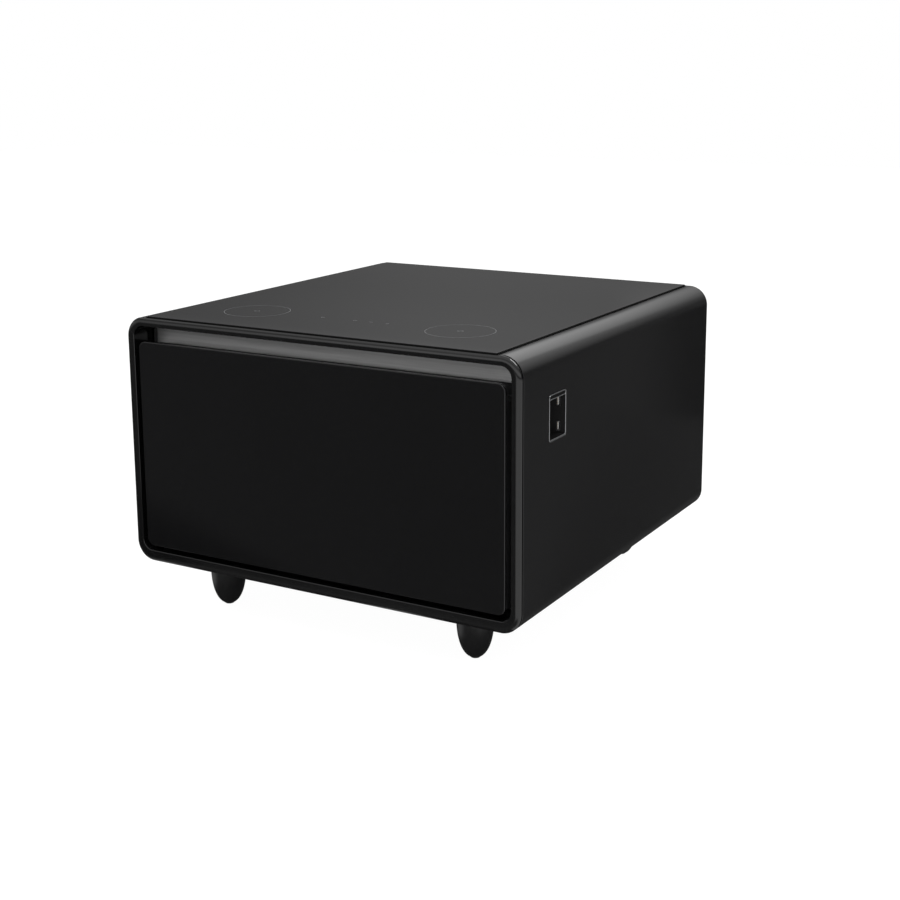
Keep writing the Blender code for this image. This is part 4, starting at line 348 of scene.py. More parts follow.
def makeCondenserFinish(look):
    # aluminium fins pressed on a copper tube: the tube shows inside the stack and at its bends
    material, tree, shader = startMaterial(look["name"], {"Metallic": 1.0, "Roughness": 0.35})
    place = addNode(tree, "TexCoord").outputs["Object"]
    across = addNode(tree, "SeparateXYZ", {"Vector": place}).outputs["X"]
    offset = addNode(tree, "Math", {0: across, 1: look["middle"]}, operation="SUBTRACT")
    away = addNode(tree, "Math", {0: offset.outputs["Value"]}, operation="ABSOLUTE")
    onTube = addNode(tree, "Math", {0: away.outputs["Value"], 1: look["tube"]}, operation="LESS_THAN")
    grime = addNode(tree, "TexNoise", {"Vector": place, "Scale": 1.0 / look["cloud"], "Detail": 4.0})
    ends = {6: linear(look["fin"][0]), 7: linear(look["fin"][1])}
    fin = addNode(tree, "Mix", {0: grime.outputs["Fac"], **ends}, data_type="RGBA")
    ends = {6: fin.outputs[2], 7: linear(look["copper"])}
    colour = addNode(tree, "Mix", {0: onTube.outputs["Value"], **ends}, data_type="RGBA")
    tree.links.new(colour.outputs[2], shader.inputs["Base Color"])
    return material


condenserLow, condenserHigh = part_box("condenser")
condenserFinish = makeCondenserFinish({
    "name": "aluminiumFinsOnCopperTube", "fin": ("a9abad", "c2c4c6"), "copper": "b5714f",
    "middle": (condenserLow.x + condenserHigh.x) / 2, "tube": 0.0038, "cloud": 0.012,
})
print("finishes made:", len(bpy.data.materials))


def rectPoints(left, low, right, high):
    return [(left, low), (right, low), (right, high), (left, high)]


def roundedRect(rect, radius, steps=24, grow=0.0):
    # rect is left, low, right and high; four arcs in turn, anticlockwise from the right
    left, low, right, high = rect[0] - grow, rect[1] - grow, rect[2] + grow, rect[3] + grow
    across, up = (right - radius, left + radius), (high - radius, low + radius)
    points = []
    centres = ((across[0], up[0]), (across[1], up[0]), (across[1], up[1]), (across[0], up[1]))
    for quarter, (x, y) in enumerate(centres):
        for step in range(steps + 1):
            angle = (quarter + step / steps) * math.pi / 2
            points.append((x + radius * math.cos(angle), y + radius * math.sin(angle)))
    return points


def cabinetOutline(inset=0.0):
    # the cabinet's section across, drawn in by this much all round
    rect = (-cabinet["half"], cabinet["base"], cabinet["half"], cabinet["top"])
    return roundedRect(rect, cabinet["corner"] - inset, 32, -inset)


def quarterTurn(steps):
    # how far a rounded edge still lies in from the side, and how deep it has come, step by step
    angles = [math.pi / 2 * step / steps for step in range(steps + 1)]
    return [(1 - math.sin(angle), 1 - math.cos(angle)) for angle in angles]


def inPlane(axis, points, level):
    if axis == "X":
        return [(level, u, v) for u, v in points]
    if axis == "Y":
        return [(u, level, v) for u, v in points]
    return [(u, v, level) for u, v in points]


def skinRings(rings, closed=False):
    # quads from each ring to the next; then caps at both ends, or quads back to the first ring
    bm = bmesh.new()
    loops = [[bm.verts.new(point) for point in ring] for ring in rings]
    following = loops[1:] + loops[:1] if closed else loops[1:]
    for near, far in zip(loops, following):
        for here in range(len(near)):
            after = (here + 1) % len(near)
            bm.faces.new((near[here], near[after], far[after], far[here]))
    if not closed:
        bm.faces.new(list(reversed(loops[0])))
        bm.faces.new(loops[-1])
    return bm


def addObject(name, data):
    item = bpy.data.objects.new(name, data)
    bpy.context.scene.collection.objects.link(item)
    return item


def objectFrom(name, bm):
    mesh = bpy.data.meshes.new(name)
    bm.to_mesh(mesh)
    bm.free()
    return addObject(name, mesh)


def buildPiece(name, ringSets, closed=False):
    # each set of rings becomes one closed form, faces out
    bm = bmesh.new()
    for rings in ringSets:
        part = skinRings(rings, closed)
        if part.calc_volume(signed=True) < 0.0:
            bmesh.ops.reverse_faces(part, faces=part.faces)
        carrier = bpy.data.meshes.new(name)
        part.to_mesh(carrier)
        part.free()
        bm.from_mesh(carrier)
        bpy.data.meshes.remove(carrier)
    return objectFrom(name, bm)


def drawn(name, axis, outline, start, end):
    return buildPiece(name, [[inPlane(axis, outline, start), inPlane(axis, outline, end)]])


def block(name, low, high):
    return drawn(name, "Z", rectPoints(low[0], low[1], high[0], high[1]), low[2], high[2])


def circlePoints(radius, sides, centre=(0.0, 0.0)):
    turns = [2 * math.pi * side / sides for side in range(sides)]
    return [(centre[0] + radius * math.cos(turn), centre[1] + radius * math.sin(turn)) for turn in turns]


def settle(item):
    # the modifiers' result becomes the mesh itself
    bpy.context.view_layer.update()
    graph = bpy.context.evaluated_depsgraph_get()
    mesh = bpy.data.meshes.new_from_object(item.evaluated_get(graph), depsgraph=graph)
    before = item.data
    item.modifiers.clear()
    item.data = mesh
    bpy.data.meshes.remove(before)
    return item


def addModifier(item, kind, **settings):
    change = item.modifiers.new(kind.lower(), kind)
    for name, value in settings.items():
        setattr(change, name, value)


def carve(item, cutters, operation="DIFFERENCE"):
    for cutter in cutters:
        addModifier(item, "BOOLEAN", operation=operation, solver="EXACT", object=cutter)
    settle(item)
    for cutter in cutters:
        bpy.data.objects.remove(cutter)
    return item


# angles in degrees within which faces merge, and above which an edge is hard; welded distance in metres
rounding = {"flat": 0.4, "hard": 32, "weld": 0.000002}


def roundEdges(item, width, segments, limit):
    # flat faces merge first and stay flat to the light; then each hard edge gets its small radius
    addModifier(item, "DECIMATE", decimate_type="DISSOLVE", angle_limit=math.radians(rounding["flat"]))
    if width:
        bevel = {"width": width, "segments": segments, "limit_method": "ANGLE"}
        addModifier(item, "BEVEL", **bevel, angle_limit=math.radians(limit), use_clamp_overlap=True)


def smoothLight(item):
    item.data.shade_smooth()
    addModifier(item, "WEIGHTED_NORMAL", weight=80, keep_sharp=True)


def softenEdges(item, width, segments=3, limit=rounding["hard"]):
    roundEdges(item, width, segments, limit)
    settle(item)
    smoothLight(item)
    return item


def setFinish(item, material):
    item.data.materials.clear()
    item.data.materials.append(material)


def finishPiece(item, material, body, stands=()):
    setFinish(item, material)
    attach(item, body)
    if stands:
        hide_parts(*stands)
    return item


def dressNode(name, material, edge):
    # a carried solid keeps its mesh: its split corners are welded, its edges rounded, its light smoothed
    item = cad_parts[name]
    setFinish(item, material)
    addModifier(item, "WELD", merge_threshold=rounding["weld"])
    roundEdges(item, edge, 2, rounding["hard"])
    smoothLight(item)


# outer shell: one wrap of painted sheet, its cut edges rounded over by the paint
shell = {
    "joint": 0.0082, "opening": 0.0014, "edge": 0.0006,
    "windowGap": 0.0005, "windowCorner": 0.0045, "footHole": 0.0093,
}
footNames = [f"foot_{row}_{side}" for row in ("front", "rear") for side in ("left", "right")]
housingRect = (housingLow.y, housingLow.z, housingHigh.y, housingHigh.z)


def makeShell():
    half, base, top, wall = cabinet["half"], cabinet["base"], cabinet["top"], cabinet["wall"]
    start, back, over = cabinet["front"] + shell["joint"], cabinet["back"], cabinet["overrun"]
    item = drawn("shellWrap", "Y", cabinetOutline(), start, back)
    hollow = drawn("hollowCutter", "Y", cabinetOutline(wall), start - over, back + over)
    gap = shell["opening"]
    opening = block(
        "openingCutter",
        (glassLow.x - gap, start - over, top - cabinet["corner"]),
        (glassHigh.x + gap, glassHigh.y + gap, top + over),
    )
    outline = roundedRect(housingRect, shell["windowCorner"], 12, shell["windowGap"])
    window = drawn("windowCutter", "X", outline, half - cabinet["corner"], half + over)
    holes = []
    for name in footNames:
        low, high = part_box(name)
        ring = circlePoints(shell["footHole"], 32, ((low.x + high.x) / 2, (low.y + high.y) / 2))
        holes.append([inPlane("Z", ring, base - over), inPlane("Z", ring, base + wall + over)])
    carve(item, [hollow, opening, window, buildPiece("footCutter", holes)])
    softenEdges(item, shell["edge"])
    return finishPiece(item, satinPaint, "cabinet", ["outer_shell"])


# front bezel: moulded face frame with a rolled rim, the ribbed sleeve behind it, and the seal in its joint
bezel = {
    "thick": 0.0050, "rim": 0.0085, "rimDeep": 0.0046, "rimSteps": 14,
    "side": 0.0137, "bottom": 0.0172, "topBar": 0.0128, "innerCorner": 0.016, "lead": 0.0011, "leadSteps": 6,
    "sleeve": 0.054, "sleeveWall": 0.0025, "rib": 0.003, "pockets": 8,
    "gap": 0.0014, "sealInset": 0.0018, "sealClear": 0.0001, "sealEdge": 0.0002, "edge": 0.0004,
}


def makeBezel():
    half, base, top, front = cabinet["half"], cabinet["base"], cabinet["top"], cabinet["front"]
    seat, over = cabinet["seat"], cabinet["overrun"]
    rings = []
    for inset, depth in quarterTurn(bezel["rimSteps"]):
        rings.append(inPlane("Y", cabinetOutline(bezel["rim"] * inset), front + bezel["rimDeep"] * depth))
    flangeBack = front + bezel["thick"]
    sleeveBack = front + bezel["sleeve"]
    left, low = -half + bezel["side"], base + bezel["bottom"]
    right, high = half - bezel["side"], top - bezel["topBar"]
    grow, corner = bezel["sleeveWall"], bezel["innerCorner"]
    sleeveRect = (left - grow, low - grow, right + grow, top - cabinet["wall"] - seat)
    sleeve = roundedRect(sleeveRect, corner + grow, 32)
    rings.append(inPlane("Y", cabinetOutline(), flangeBack))
    rings.append(inPlane("Y", sleeve, flangeBack))
    rings.append(inPlane("Y", sleeve, sleeveBack))
    item = buildPiece("bezelFace", [rings])
    mouth = []
    for inset, depth in quarterTurn(bezel["leadSteps"]):
        grown = bezel["lead"] * inset
        outline = roundedRect((left, low, right, high), corner + grown, 32, grown)
        mouth.append(inPlane("Y", outline, front + bezel["lead"] * depth))
    mouth.insert(0, [(x, front - over, z) for x, y, z in mouth[0]])
    mouth.append([(x, sleeveBack + over, z) for x, y, z in mouth[-1]])
    gap = bezel["gap"]
    rebate = block(
        "rebateCutter",
        (glassLow.x - gap, glassLow.y - gap, glassLow.z - seat),
        (glassHigh.x + gap, sleeveBack + over, top + over),
    )
    pitch = (glassHigh.x - glassLow.x) / bezel["pockets"]
    pockets = []
    for pocket in range(bezel["pockets"]):
        start = glassLow.x + pitch * pocket + bezel["rib"] / 2
        outline = rectPoints(start, flangeBack, start + pitch - bezel["rib"], sleeveBack - grow)
        pockets.append([inPlane("Z", outline, high + grow), inPlane("Z", outline, top + over)])
    carve(item, [buildPiece("mouthCutter", [mouth]), rebate, buildPiece("pocketCutter", pockets)])
    softenEdges(item, bezel["edge"], 2)
    return finishPiece(item, glossMoulding, "cabinet", ["front_bezel"])


def makeJointSeal():
    # dull black seal ring that fills the joint between the bezel and the shell; its black is partly painted
    # shade for the joint's shadow
    top, front, over = cabinet["top"], cabinet["front"], cabinet["overrun"]
    start, end = front + bezel["thick"] + bezel["sealClear"], front + shell["joint"] - bezel["sealClear"]
    ring = drawn("jointSeal", "Y", cabinetOutline(bezel["sealInset"]), start, end)
    inside = drawn("sealCutter", "Y", cabinetOutline(cabinet["wall"]), start - over, end + over)
    gap = bezel["gap"]
    glassWay = block(
        "sealGlassCutter",
        (glassLow.x - gap, start - over, top - cabinet["corner"]),
        (glassHigh.x + gap, end + over, top + over),
    )
    carve(ring, [inside, glassWay])
    softenEdges(ring, bezel["sealEdge"], 2)
    return finishPiece(ring, sealAndPaintedShade, "cabinet")


# both panes: ground flat, then the edges polished round, and a bead of silicone round the top one
pane = {
    "topEdge": 0.0003, "drawerEdge": 0.0012, "steps": 4, "topCorner": 0.0012, "drawerCorner": 0.0114,
    "leastCorner": 0.0002, "drop": 0.00015, "bead": 0.0013, "beadFit": 0.00002, "beadDrop": 0.0011,
    "beadCut": 0.001, "beadEdge": 0.0002, "arris": 0.00001,
}


def makePane(name, axis, rect, radius, start, end, edge):
    # near face, then far face, each with its edge turned over in a quarter circle
    rings = []
    for inset, depth in quarterTurn(pane["steps"]):
        outline = roundedRect(rect, max(radius - edge * inset, pane["leastCorner"]), 20, -edge * inset)
        rings.append((outline, edge * depth))
    near = [inPlane(axis, outline, start + depth) for outline, depth in rings]
    far = [inPlane(axis, outline, end - depth) for outline, depth in reversed(rings)]
    return softenEdges(buildPiece(name, [near + far]), pane["arris"], 1, 60)


def makeGlassTop():
    high = glassHigh.z - pane["drop"]
    item = makePane("topPane", "Z", glassRect, pane["topCorner"], glassLow.z, high, pane["topEdge"])
    return finishPiece(item, topGlassFinish, "cabinet", ["glass_top"])


def makePaneBead():
    # fills the gap round the pane up to just under its polished edge; its black is partly painted shade for the
    # gap's shadow
    level = glassHigh.z - pane["drop"] - pane["beadDrop"]
    inner, outer = (
        roundedRect(glassRect, pane["topCorner"] + reach, 6, reach) for reach in (pane["beadFit"], pane["bead"])
    )
    bead = drawn("paneBead", "Z", outer, glassLow.z, level)
    carve(bead, [drawn("beadCutter", "Z", inner, glassLow.z - pane["beadCut"], level + pane["beadCut"])])
    softenEdges(bead, pane["beadEdge"], 2)
    return finishPiece(bead, sealAndPaintedShade, "cabinet")


def makeDrawerGlass():
    rect = (panelLow.x, panelLow.z, panelHigh.x, panelHigh.z)
    item = makePane(
        "drawerPane", "Y", rect, pane["drawerCorner"], panelLow.y, panelHigh.y, pane["drawerEdge"]
    )
    return finishPiece(item, drawerGlassFinish, "drawer", ["drawer_glass"])


# grip strip: brushed aluminium at the back of the finger gutter, slightly hollow across its face and
# rolled back at its lower edge
strip = {
    "thick": 0.0022, "hollow": 0.0008, "low": 0.0072, "roll": 0.0020, "endMargin": 0.0012,
    "steps": 24, "rollSteps": 8, "edge": 0.0003,
}


def makeGripStrip():
    low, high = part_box("grip_strip")
    bottom = panelHigh.z - strip["low"]
    half = panelHigh.x - strip["endMargin"]
    roll = strip["roll"]
    points = [(high.y, bottom - roll), (high.y, high.z)]
    for step in range(strip["steps"] + 1):
        share = 1 - 2 * step / strip["steps"]
        face = high.y - strip["thick"] + strip["hollow"] * (1 - share * share)
        points.append((face, (bottom + high.z) / 2 + share * (high.z - bottom) / 2))
    for step in range(1, strip["rollSteps"]):
        angle = math.pi / 2 * step / strip["rollSteps"]
        face = high.y - strip["thick"] + roll * (1 - math.cos(angle))
        points.append((face, bottom - roll * math.sin(angle)))
    item = drawn("gripStripFace", "X", points, -half, half)
    softenEdges(item, strip["edge"], 2, 40)
    return finishPiece(item, stripFinish, "drawer", ["grip_strip"])


# marks on the glass: a wide ring round a small one over each charging coil, and touch points between them
marks = {
    "side": 0.1725, "front": 0.1155, "ring": 0.049, "eye": 0.0042, "dot": 0.0024,
    "line": 0.0007, "lift": 0.0001, "pitch": 0.0275, "places": (-2, 0, 1, 2),
}


def flatRing(centre, outer, low, high, sides):
    # the four rings of one printed line, round its outside and back along its inside
    inner = outer - marks["line"]
    corners = ((outer, low), (outer, high), (inner, high), (inner, low))
    return [inPlane("Z", circlePoints(radius, sides, centre), level) for radius, level in corners]


def makeMarks():
    low = glassHigh.z - pane["drop"]
    high = low + marks["lift"]
    y = cabinet["front"] + marks["front"]
    lines = []
    for x in (-marks["side"], marks["side"]):
        lines.append(flatRing((x, y), marks["ring"], low, high, 96))
        lines.append(flatRing((x, y), marks["eye"], low, high, 32))
    for place in marks["places"]:
        lines.append(flatRing((marks["pitch"] * place, y), marks["dot"], low, high, 24))
    return finishPiece(buildPiece("glassMarks", lines, closed=True), printedInk, "cabinet")


# feet: blunt bullets with a flat that stands on the floor, straight above where the tip ends
foot = {
    "steps": 28, "flat": 0.0065, "flatMargin": 1.15, "tip": 0.060, "blunt": 2.3, "spigot": 0.009,
    "sides": 64, "edge": 0.0005,
}


def makeFeet():
    for name in footNames:
        low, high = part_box(name)
        centre = ((low.x + high.x) / 2, (low.y + high.y) / 2)
        radius = (high.x - low.x) / 2
        rise = cabinet["base"] - cabinet["seat"]
        profile = [(foot["flat"], 0.0)]
        for step in range(foot["steps"] + 1):
            angle = math.pi / 2 * step / foot["steps"]
            reach = radius * math.sin(angle) ** (2 / foot["blunt"])
            drop = max(math.cos(angle), 0.0) ** (2 / foot["blunt"])
            if reach > foot["flat"] * foot["flatMargin"]:
                profile.append((reach, foot["tip"] * (1 - drop)))
        profile += [(radius, rise), (foot["spigot"], rise), (foot["spigot"], high.z)]
        rings = [inPlane("Z", circlePoints(reach, foot["sides"], centre), level) for reach, level in profile]
        parts = name.split("_")
        item = buildPiece("foot" + parts[1].capitalize() + parts[2].capitalize(), [rings])
        softenEdges(item, foot["edge"], 2, 50)
        finishPiece(item, satinMoulding, "cabinet", [name])


# charge ports: moulded housing with a niche whose rear face turns to the front, and a chromed trim on it
port = {
    "corner": 0.004, "edge": 0.0004,
    "trim": 0.0012, "trimWide": 0.0013, "trimBar": 0.0009, "trimEdge": 0.0004, "trimCorner": 0.0016,
    "trimSeat": 0.00005, "lipClear": 0.0001, "lipRoot": 0.002, "lipDrop": 0.0002,
    "side": 0.0022, "bottom": 0.0024, "topBar": 0.0060, "roomCorner": 0.0018,
    "deep": 0.0180, "shallow": 0.0015, "run": 0.0095, "reach": 0.0040,
    "drops": {"Upper": 0.0166, "Lower": 0.0506},
}
# each socket: pressed shell with two spring cut-outs through its broad sides, a tongue and its contacts
socket = {
    "wide": 0.0057 / 2, "tall": 0.0131 / 2, "length": 0.0120, "sheet": 0.0004, "back": 0.002,
    "seatCorner": 0.0009, "corner": 0.0007, "innerCorner": 0.0004, "edge": 0.00012,
    "spring": (-0.0075, -0.0030, 0.0009),
    "tongue": 0.0018, "tongueTall": 0.0105 / 2, "tongueFront": -0.001,
    "tongueFit": 0.0001, "tongueEdge": 0.0002,
    "contacts": 4, "pitch": 0.0024, "contact": (-0.0098, -0.0018, 0.0005), "sunk": 0.00015, "proud": 0.0002,
}


def makeSocket(label, put):
    over, length, sheet = cabinet["overrun"], socket["length"], socket["sheet"]
    wide, tall = socket["wide"], socket["tall"]
    rect = (-wide, -tall, wide, tall)
    body = drawn("portShell" + label, "X", roundedRect(rect, socket["corner"], 6), -length, 0.0)
    inner = roundedRect(rect, socket["innerCorner"], 6, -sheet)
    cutters = [drawn("inside", "X", inner, socket["back"] - length, over)]
    start, end, reach = socket["spring"]
    for up in (-tall / 2, tall / 2):
        cutters.append(block("spring", (start, -over, up - reach), (end, over, up + reach)))
    carve(body, cutters)
    softenEdges(body, socket["edge"], 2)
    body.matrix_world = put
    stands = ["charge_port_" + label.lower()]
    finishPiece(body, darkSteel, "cabinet", stands)
    plate, reach = wide - sheet - 2 * socket["tongue"], socket["tongueTall"]
    root = socket["back"] - socket["tongueFit"] - length
    tongue = block(
        "portTongue" + label, (root, plate, -reach), (socket["tongueFront"], plate + socket["tongue"], reach)
    )
    softenEdges(tongue, socket["tongueEdge"], 2)
    tongue.matrix_world = put
    finishPiece(tongue, tonguePlastic, "cabinet")
    start, end, reach = socket["contact"]
    strips = []
    for contact in range(socket["contacts"]):
        middle = (contact - (socket["contacts"] - 1) / 2) * socket["pitch"]
        line = rectPoints(start, middle - reach, end, middle + reach)
        strips.append([inPlane("Y", line, plate - socket["sunk"]), inPlane("Y", line, plate + socket["proud"])])
    contacts = buildPiece("portContacts" + label, strips)
    contacts.matrix_world = put
    finishPiece(contacts, goldFlash, "cabinet")


def makePorts():
    half, over, seat = cabinet["half"], cabinet["overrun"], cabinet["seat"]
    left, low, right, high = housingRect
    near, far = left + port["side"], right - port["side"]
    slope = (port["deep"] - port["shallow"]) / port["run"]
    place = far - port["reach"]
    depth = port["shallow"] + slope * port["reach"]
    outline = roundedRect(housingRect, port["corner"], 12)
    face = half - port["trim"]
    housing = drawn("portHousing", "X", outline, housingLow.x, face - port["trimSeat"])
    # the trim is a ring with one bar at the niche's upper edge; the housing's lip shows above the bar
    rim, clear, corner = port["trimWide"], port["lipClear"], port["trimCorner"]
    barLow = high - port["topBar"] - port["trimBar"]
    barHigh = barLow + port["trimBar"]
    lip = roundedRect((left + rim, barHigh, right - rim, high - rim), corner, 12, -clear)
    carve(housing, [drawn("portLip", "X", lip, face - port["lipRoot"], half - port["lipDrop"])], "UNION")
    trim = drawn("portTrim", "X", outline, face, half)
    openings = []
    for bottom, top in ((barHigh, high - rim), (low + port["bottom"], barLow)):
        opening = roundedRect((left + rim, bottom, right - rim, top), corner, 12)
        openings.append(drawn("trimCutter", "X", opening, face - over, half + over))
    carve(trim, openings)
    softenEdges(trim, port["trimEdge"], 4)
    finishPiece(trim, trimChrome, "cabinet")
    # behind the shell's wall the housing runs on backwards, to hold the sockets
    inset = port["side"]
    room = roundedRect((place, low + inset, right + portRoom, high - inset), port["roomCorner"], 6)
    behind = drawn("portRoom", "X", room, housingLow.x + inset, half - cabinet["wall"] - seat)
    carve(housing, [behind], "UNION")
    wedge = [
        (half + over, near),
        (half + over, far),
        (half - port["shallow"], far),
        (half - port["deep"], far - port["run"]),
        (half - port["deep"], near),
    ]
    cutters = [drawn("nicheCutter", "Z", wedge, low + port["bottom"], barLow)]
    turn = Matrix.Rotation(-math.atan(slope), 4, "Z")
    rect = (-socket["wide"], -socket["tall"], socket["wide"], socket["tall"])
    for label, drop in port["drops"].items():
        put = Matrix.Translation((half - depth, place, high - drop)) @ turn
        seatOutline = roundedRect(rect, socket["seatCorner"], 6, seat)
        hole = drawn("seat", "X", seatOutline, -socket["length"] - seat, over)
        hole.matrix_world = put
        cutters.append(hole)
        makeSocket(label, put)
    bpy.context.view_layer.update()
    carve(housing, cutters)
    softenEdges(housing, port["edge"], 3)
    finishPiece(housing, mattMoulding, "cabinet", ["charge_port_housing"])


# screws that hold the back sheet: low pan heads with a cross recess, three up each side, two above and below
screw = {
    "radius": 0.0036, "rise": 0.0017, "recess": 0.0011, "cross": 0.0009, "crossShare": 0.6, "inset": 0.012,
    "seat": 0.0001, "edge": 0.0001, "rows": (0.12, 0.5, 0.88), "columns": 2.6,
    "crown": (0.0, 0.35, 0.6, 0.8, 0.92, 1.0), "bulge": 0.75, "cutPast": 0.002,
}


def makeScrews():
    low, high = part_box("back_panel")
    inset, radius = screw["inset"], screw["radius"]
    places = []
    for x in (low.x + inset, high.x - inset):
        places += [(x, low.z + share * (high.z - low.z)) for share in screw["rows"]]
    for x in (low.x / screw["columns"], high.x / screw["columns"]):
        places += [(x, z) for z in (low.z + inset, high.z - inset)]
    heads = []
    crosses = []
    for x, z in places:
        rings = []
        for share in screw["crown"]:
            reach = radius * math.sqrt(1 - share * share * screw["bulge"])
            level = high.y + screw["seat"] + screw["rise"] * share
            rings.append(inPlane("Y", circlePoints(reach, 24, (x, z)), level))
        heads.append(rings)
        floor = high.y + screw["seat"] + screw["rise"] - screw["recess"]
        long, short = radius * screw["crossShare"], screw["cross"] / 2
        for wide, tall in ((long, short), (short, long)):
            outline = rectPoints(x - wide, z - tall, x + wide, z + tall)
            ends = (floor, cabinet["back"] + screw["cutPast"])
            crosses.append([inPlane("Y", outline, end) for end in ends])
    item = buildPiece("backScrews", heads)
    carve(item, [buildPiece("crossA", crosses[0::2]), buildPiece("crossB", crosses[1::2])])
    softenEdges(item, screw["edge"], 1, 40)
    finishPiece(item, screwZinc, "cabinet")


makeShell()
makeBezel()
makeJointSeal()
makeGlassTop()
makePaneBead()
makeDrawerGlass()
makeGripStrip()
makeMarks()
makeFeet()
makePorts()
makeScrews()
print("own pieces built")

# carried solids by finish, and in metres how round the edges of each are
sides = ("left", "right")
dressing = (
    # the drawer's front frame shows only in the gap round the drawer glass; its lighter moulding is painted
    # light there
    (pebbledMouldingPaintedLight, {"drawer_front_frame": 0.0006}),
    (formedLiner, {"drawer_back_panel": 0.0012, "inner_liner": 0.0008, "evaporator_cover": 0.0006}),
    (softSeal, {"drawer_gasket": 0.0008}),
    (mouldedBasket, {"drawer_basket": 0.0007, "basket_divider": 0.0006}),
    (powderCoat, {"back_panel": 0.0002}),
    (pebbledMoulding, {
        "top_tray": 0.0003, "evaporator_fan_frame": 0.0003, "evaporator_fan_rotor": 0.0002,
        "terminal_box": 0.0006, "drip_tray": 0.0004,
        "condenser_fan_frame": 0.0004, "condenser_fan_rotor": 0.0002,
    }),
    (touchBoardFinish, {"touch_board": 0.0001}),
    (drawnCopper, {
        "charging_pad_left": 0.0002, "charging_pad_right": 0.0002, "filter_drier": 0.0003,
        "discharge_pipe": 0.0, "capillary_tube": 0.0, "suction_pipe": 0.0,
    }),
    (rigidFoam, {"insulation_foam": 0.0005}),
    (frostedLens, {"liner_light": 0.0006}),
    (rolledAluminium, {"evaporator": 0.0003, "power_supply": 0.0003}),
    (zincSheet, {"machine_base": 0.0003}),
    (zincSheet, {f"slide_{part}_{side}": 0.0003 for part in ("outer", "middle", "inner") for side in sides}),
    (potEnamel, {"compressor": 0.0008}),
    (condenserFinish, {"condenser": 0.0}),
    (controlBoardFinish, {"control_board": 0.0002}),
    (satinMoulding, {"power_inlet": 0.0003}),
    (dampingRubber, {f"compressor_grommet_{number}": 0.0004 for number in range(1, 5)}),
)
for material, edges in dressing:
    for name, edge in edges.items():
        dressNode(name, material, edge)
print("carried solids dressed:", sum(len(edges) for material, edges in dressing))

# studio: white sweep, one world for all the soft light, and grey cards that only reflections see
studio = {
    "floorReach": 9.0, "floorUnderside": -0.02, "floorTop": -0.0002, "floorShare": 0.84, "floorGlow": 1.16,
    "fill": 0.62, "cardRadius": 4.0, "cardLift": 0.0008, "cardApex": (0.325, -0.33, 0.0), "cardDark": 0.12,
    "wallHeight": 3.0, "wallSteps": 96,
}
# bright wedges of the floor card: the heading of the middle, half the spread and the softness, in degrees
wedges = (
    {"heading": -30.0, "spread": 75.0, "soft": 8.0, "level": 1.05},
    {"heading": -166.0, "spread": 5.0, "soft": 7.0, "level": 0.05},
    {"heading": 79.0, "spread": 6.0, "soft": 8.0, "level": 0.08},
)
# the table's own shade on the floor card, the pale band before it that the feet and the lower rim mirror,
# and the pale patch to the left of each front foot
shade = {"across": (0.29, 0.35), "deep": ((-0.36, 0.0), (-0.32, 1.0)), "level": 0.05}
band = {"across": (0.33, 0.42), "deep": ((-0.56, 0.0), (-0.48, 1.0), (-0.42, 1.0), (-0.37, 0.0)), "level": 0.20}
patches = {"places": ((-0.340, -0.31), (0.090, -0.31)), "reach": ((0.035, 1.0), (0.085, 0.0)), "level": 0.60}


def shownToCamera(tree):
    # 1 for rays from the camera, off gloss and through glass, so all three see the white
    path = addNode(tree, "LightPath").outputs
    first = {0: path["Is Camera Ray"], 1: path["Is Glossy Ray"]}
    seen = addNode(tree, "Math", first, operation="MAXIMUM").outputs["Value"]
    second = {0: seen, 1: path["Is Transmission Ray"]}
    return addNode(tree, "Math", second, operation="MAXIMUM").outputs["Value"]


def emptyTree(owner):
    owner.use_nodes = True
    owner.node_tree.nodes.clear()
    return owner.node_tree


def makeWorld():
    world = bpy.data.worlds.new("studioWorld")
    bpy.context.scene.world = world
    tree = emptyTree(world)
    seen = addNode(tree, "Background", {"Color": linear("ffffff"), "Strength": 1.0})
    fill = addNode(tree, "Background", {"Color": linear("ffffff"), "Strength": studio["fill"]})
    mixed = addNode(tree, "MixShader", {0: shownToCamera(tree), 1: fill.outputs[0], 2: seen.outputs[0]})
    addNode(tree, "OutputWorld", {"Surface": mixed.outputs[0]})


def makeFloor():
    reach = studio["floorReach"]
    outline = rectPoints(-reach, -reach, reach, reach)
    floor = drawn("studioFloor", "Z", outline, studio["floorUnderside"], studio["floorTop"])
    material = bpy.data.materials.new("paperWhiteSweep")
    tree = emptyTree(material)
    share = addNode(tree, "Math", {0: shownToCamera(tree), 1: studio["floorShare"]}, operation="MULTIPLY")
    paper = addNode(tree, "BsdfDiffuse", {"Color": linear("f4f4f4")})
    glow = addNode(tree, "Emission", {"Color": linear("ffffff"), "Strength": studio["floorGlow"]})
    mixed = addNode(tree, "MixShader", {0: share.outputs["Value"], 1: paper.outputs[0], 2: glow.outputs[0]})
    addNode(tree, "OutputMaterial", {"Surface": mixed.outputs[0]})
    floor.data.materials.append(material)


def onlyInGloss(item):
    item.visible_camera = False
    item.visible_diffuse = False
    item.visible_transmission = False
    item.visible_volume_scatter = False
    item.visible_shadow = False


def smoothRamp(tree, value, stops):
    # a level that runs softly from one (place, level) pair to the next
    level = stops[0][1]
    for (start, _), (end, after) in zip(stops, stops[1:]):
        span = {"Value": value, "From Min": start, "From Max": end}
        share = addNode(tree, "MapRange", span, interpolation_type="SMOOTHSTEP").outputs["Result"]
        level = addNode(tree, "Mix", {0: share, 2: level, 3: after}, data_type="FLOAT").outputs[0]
    return level


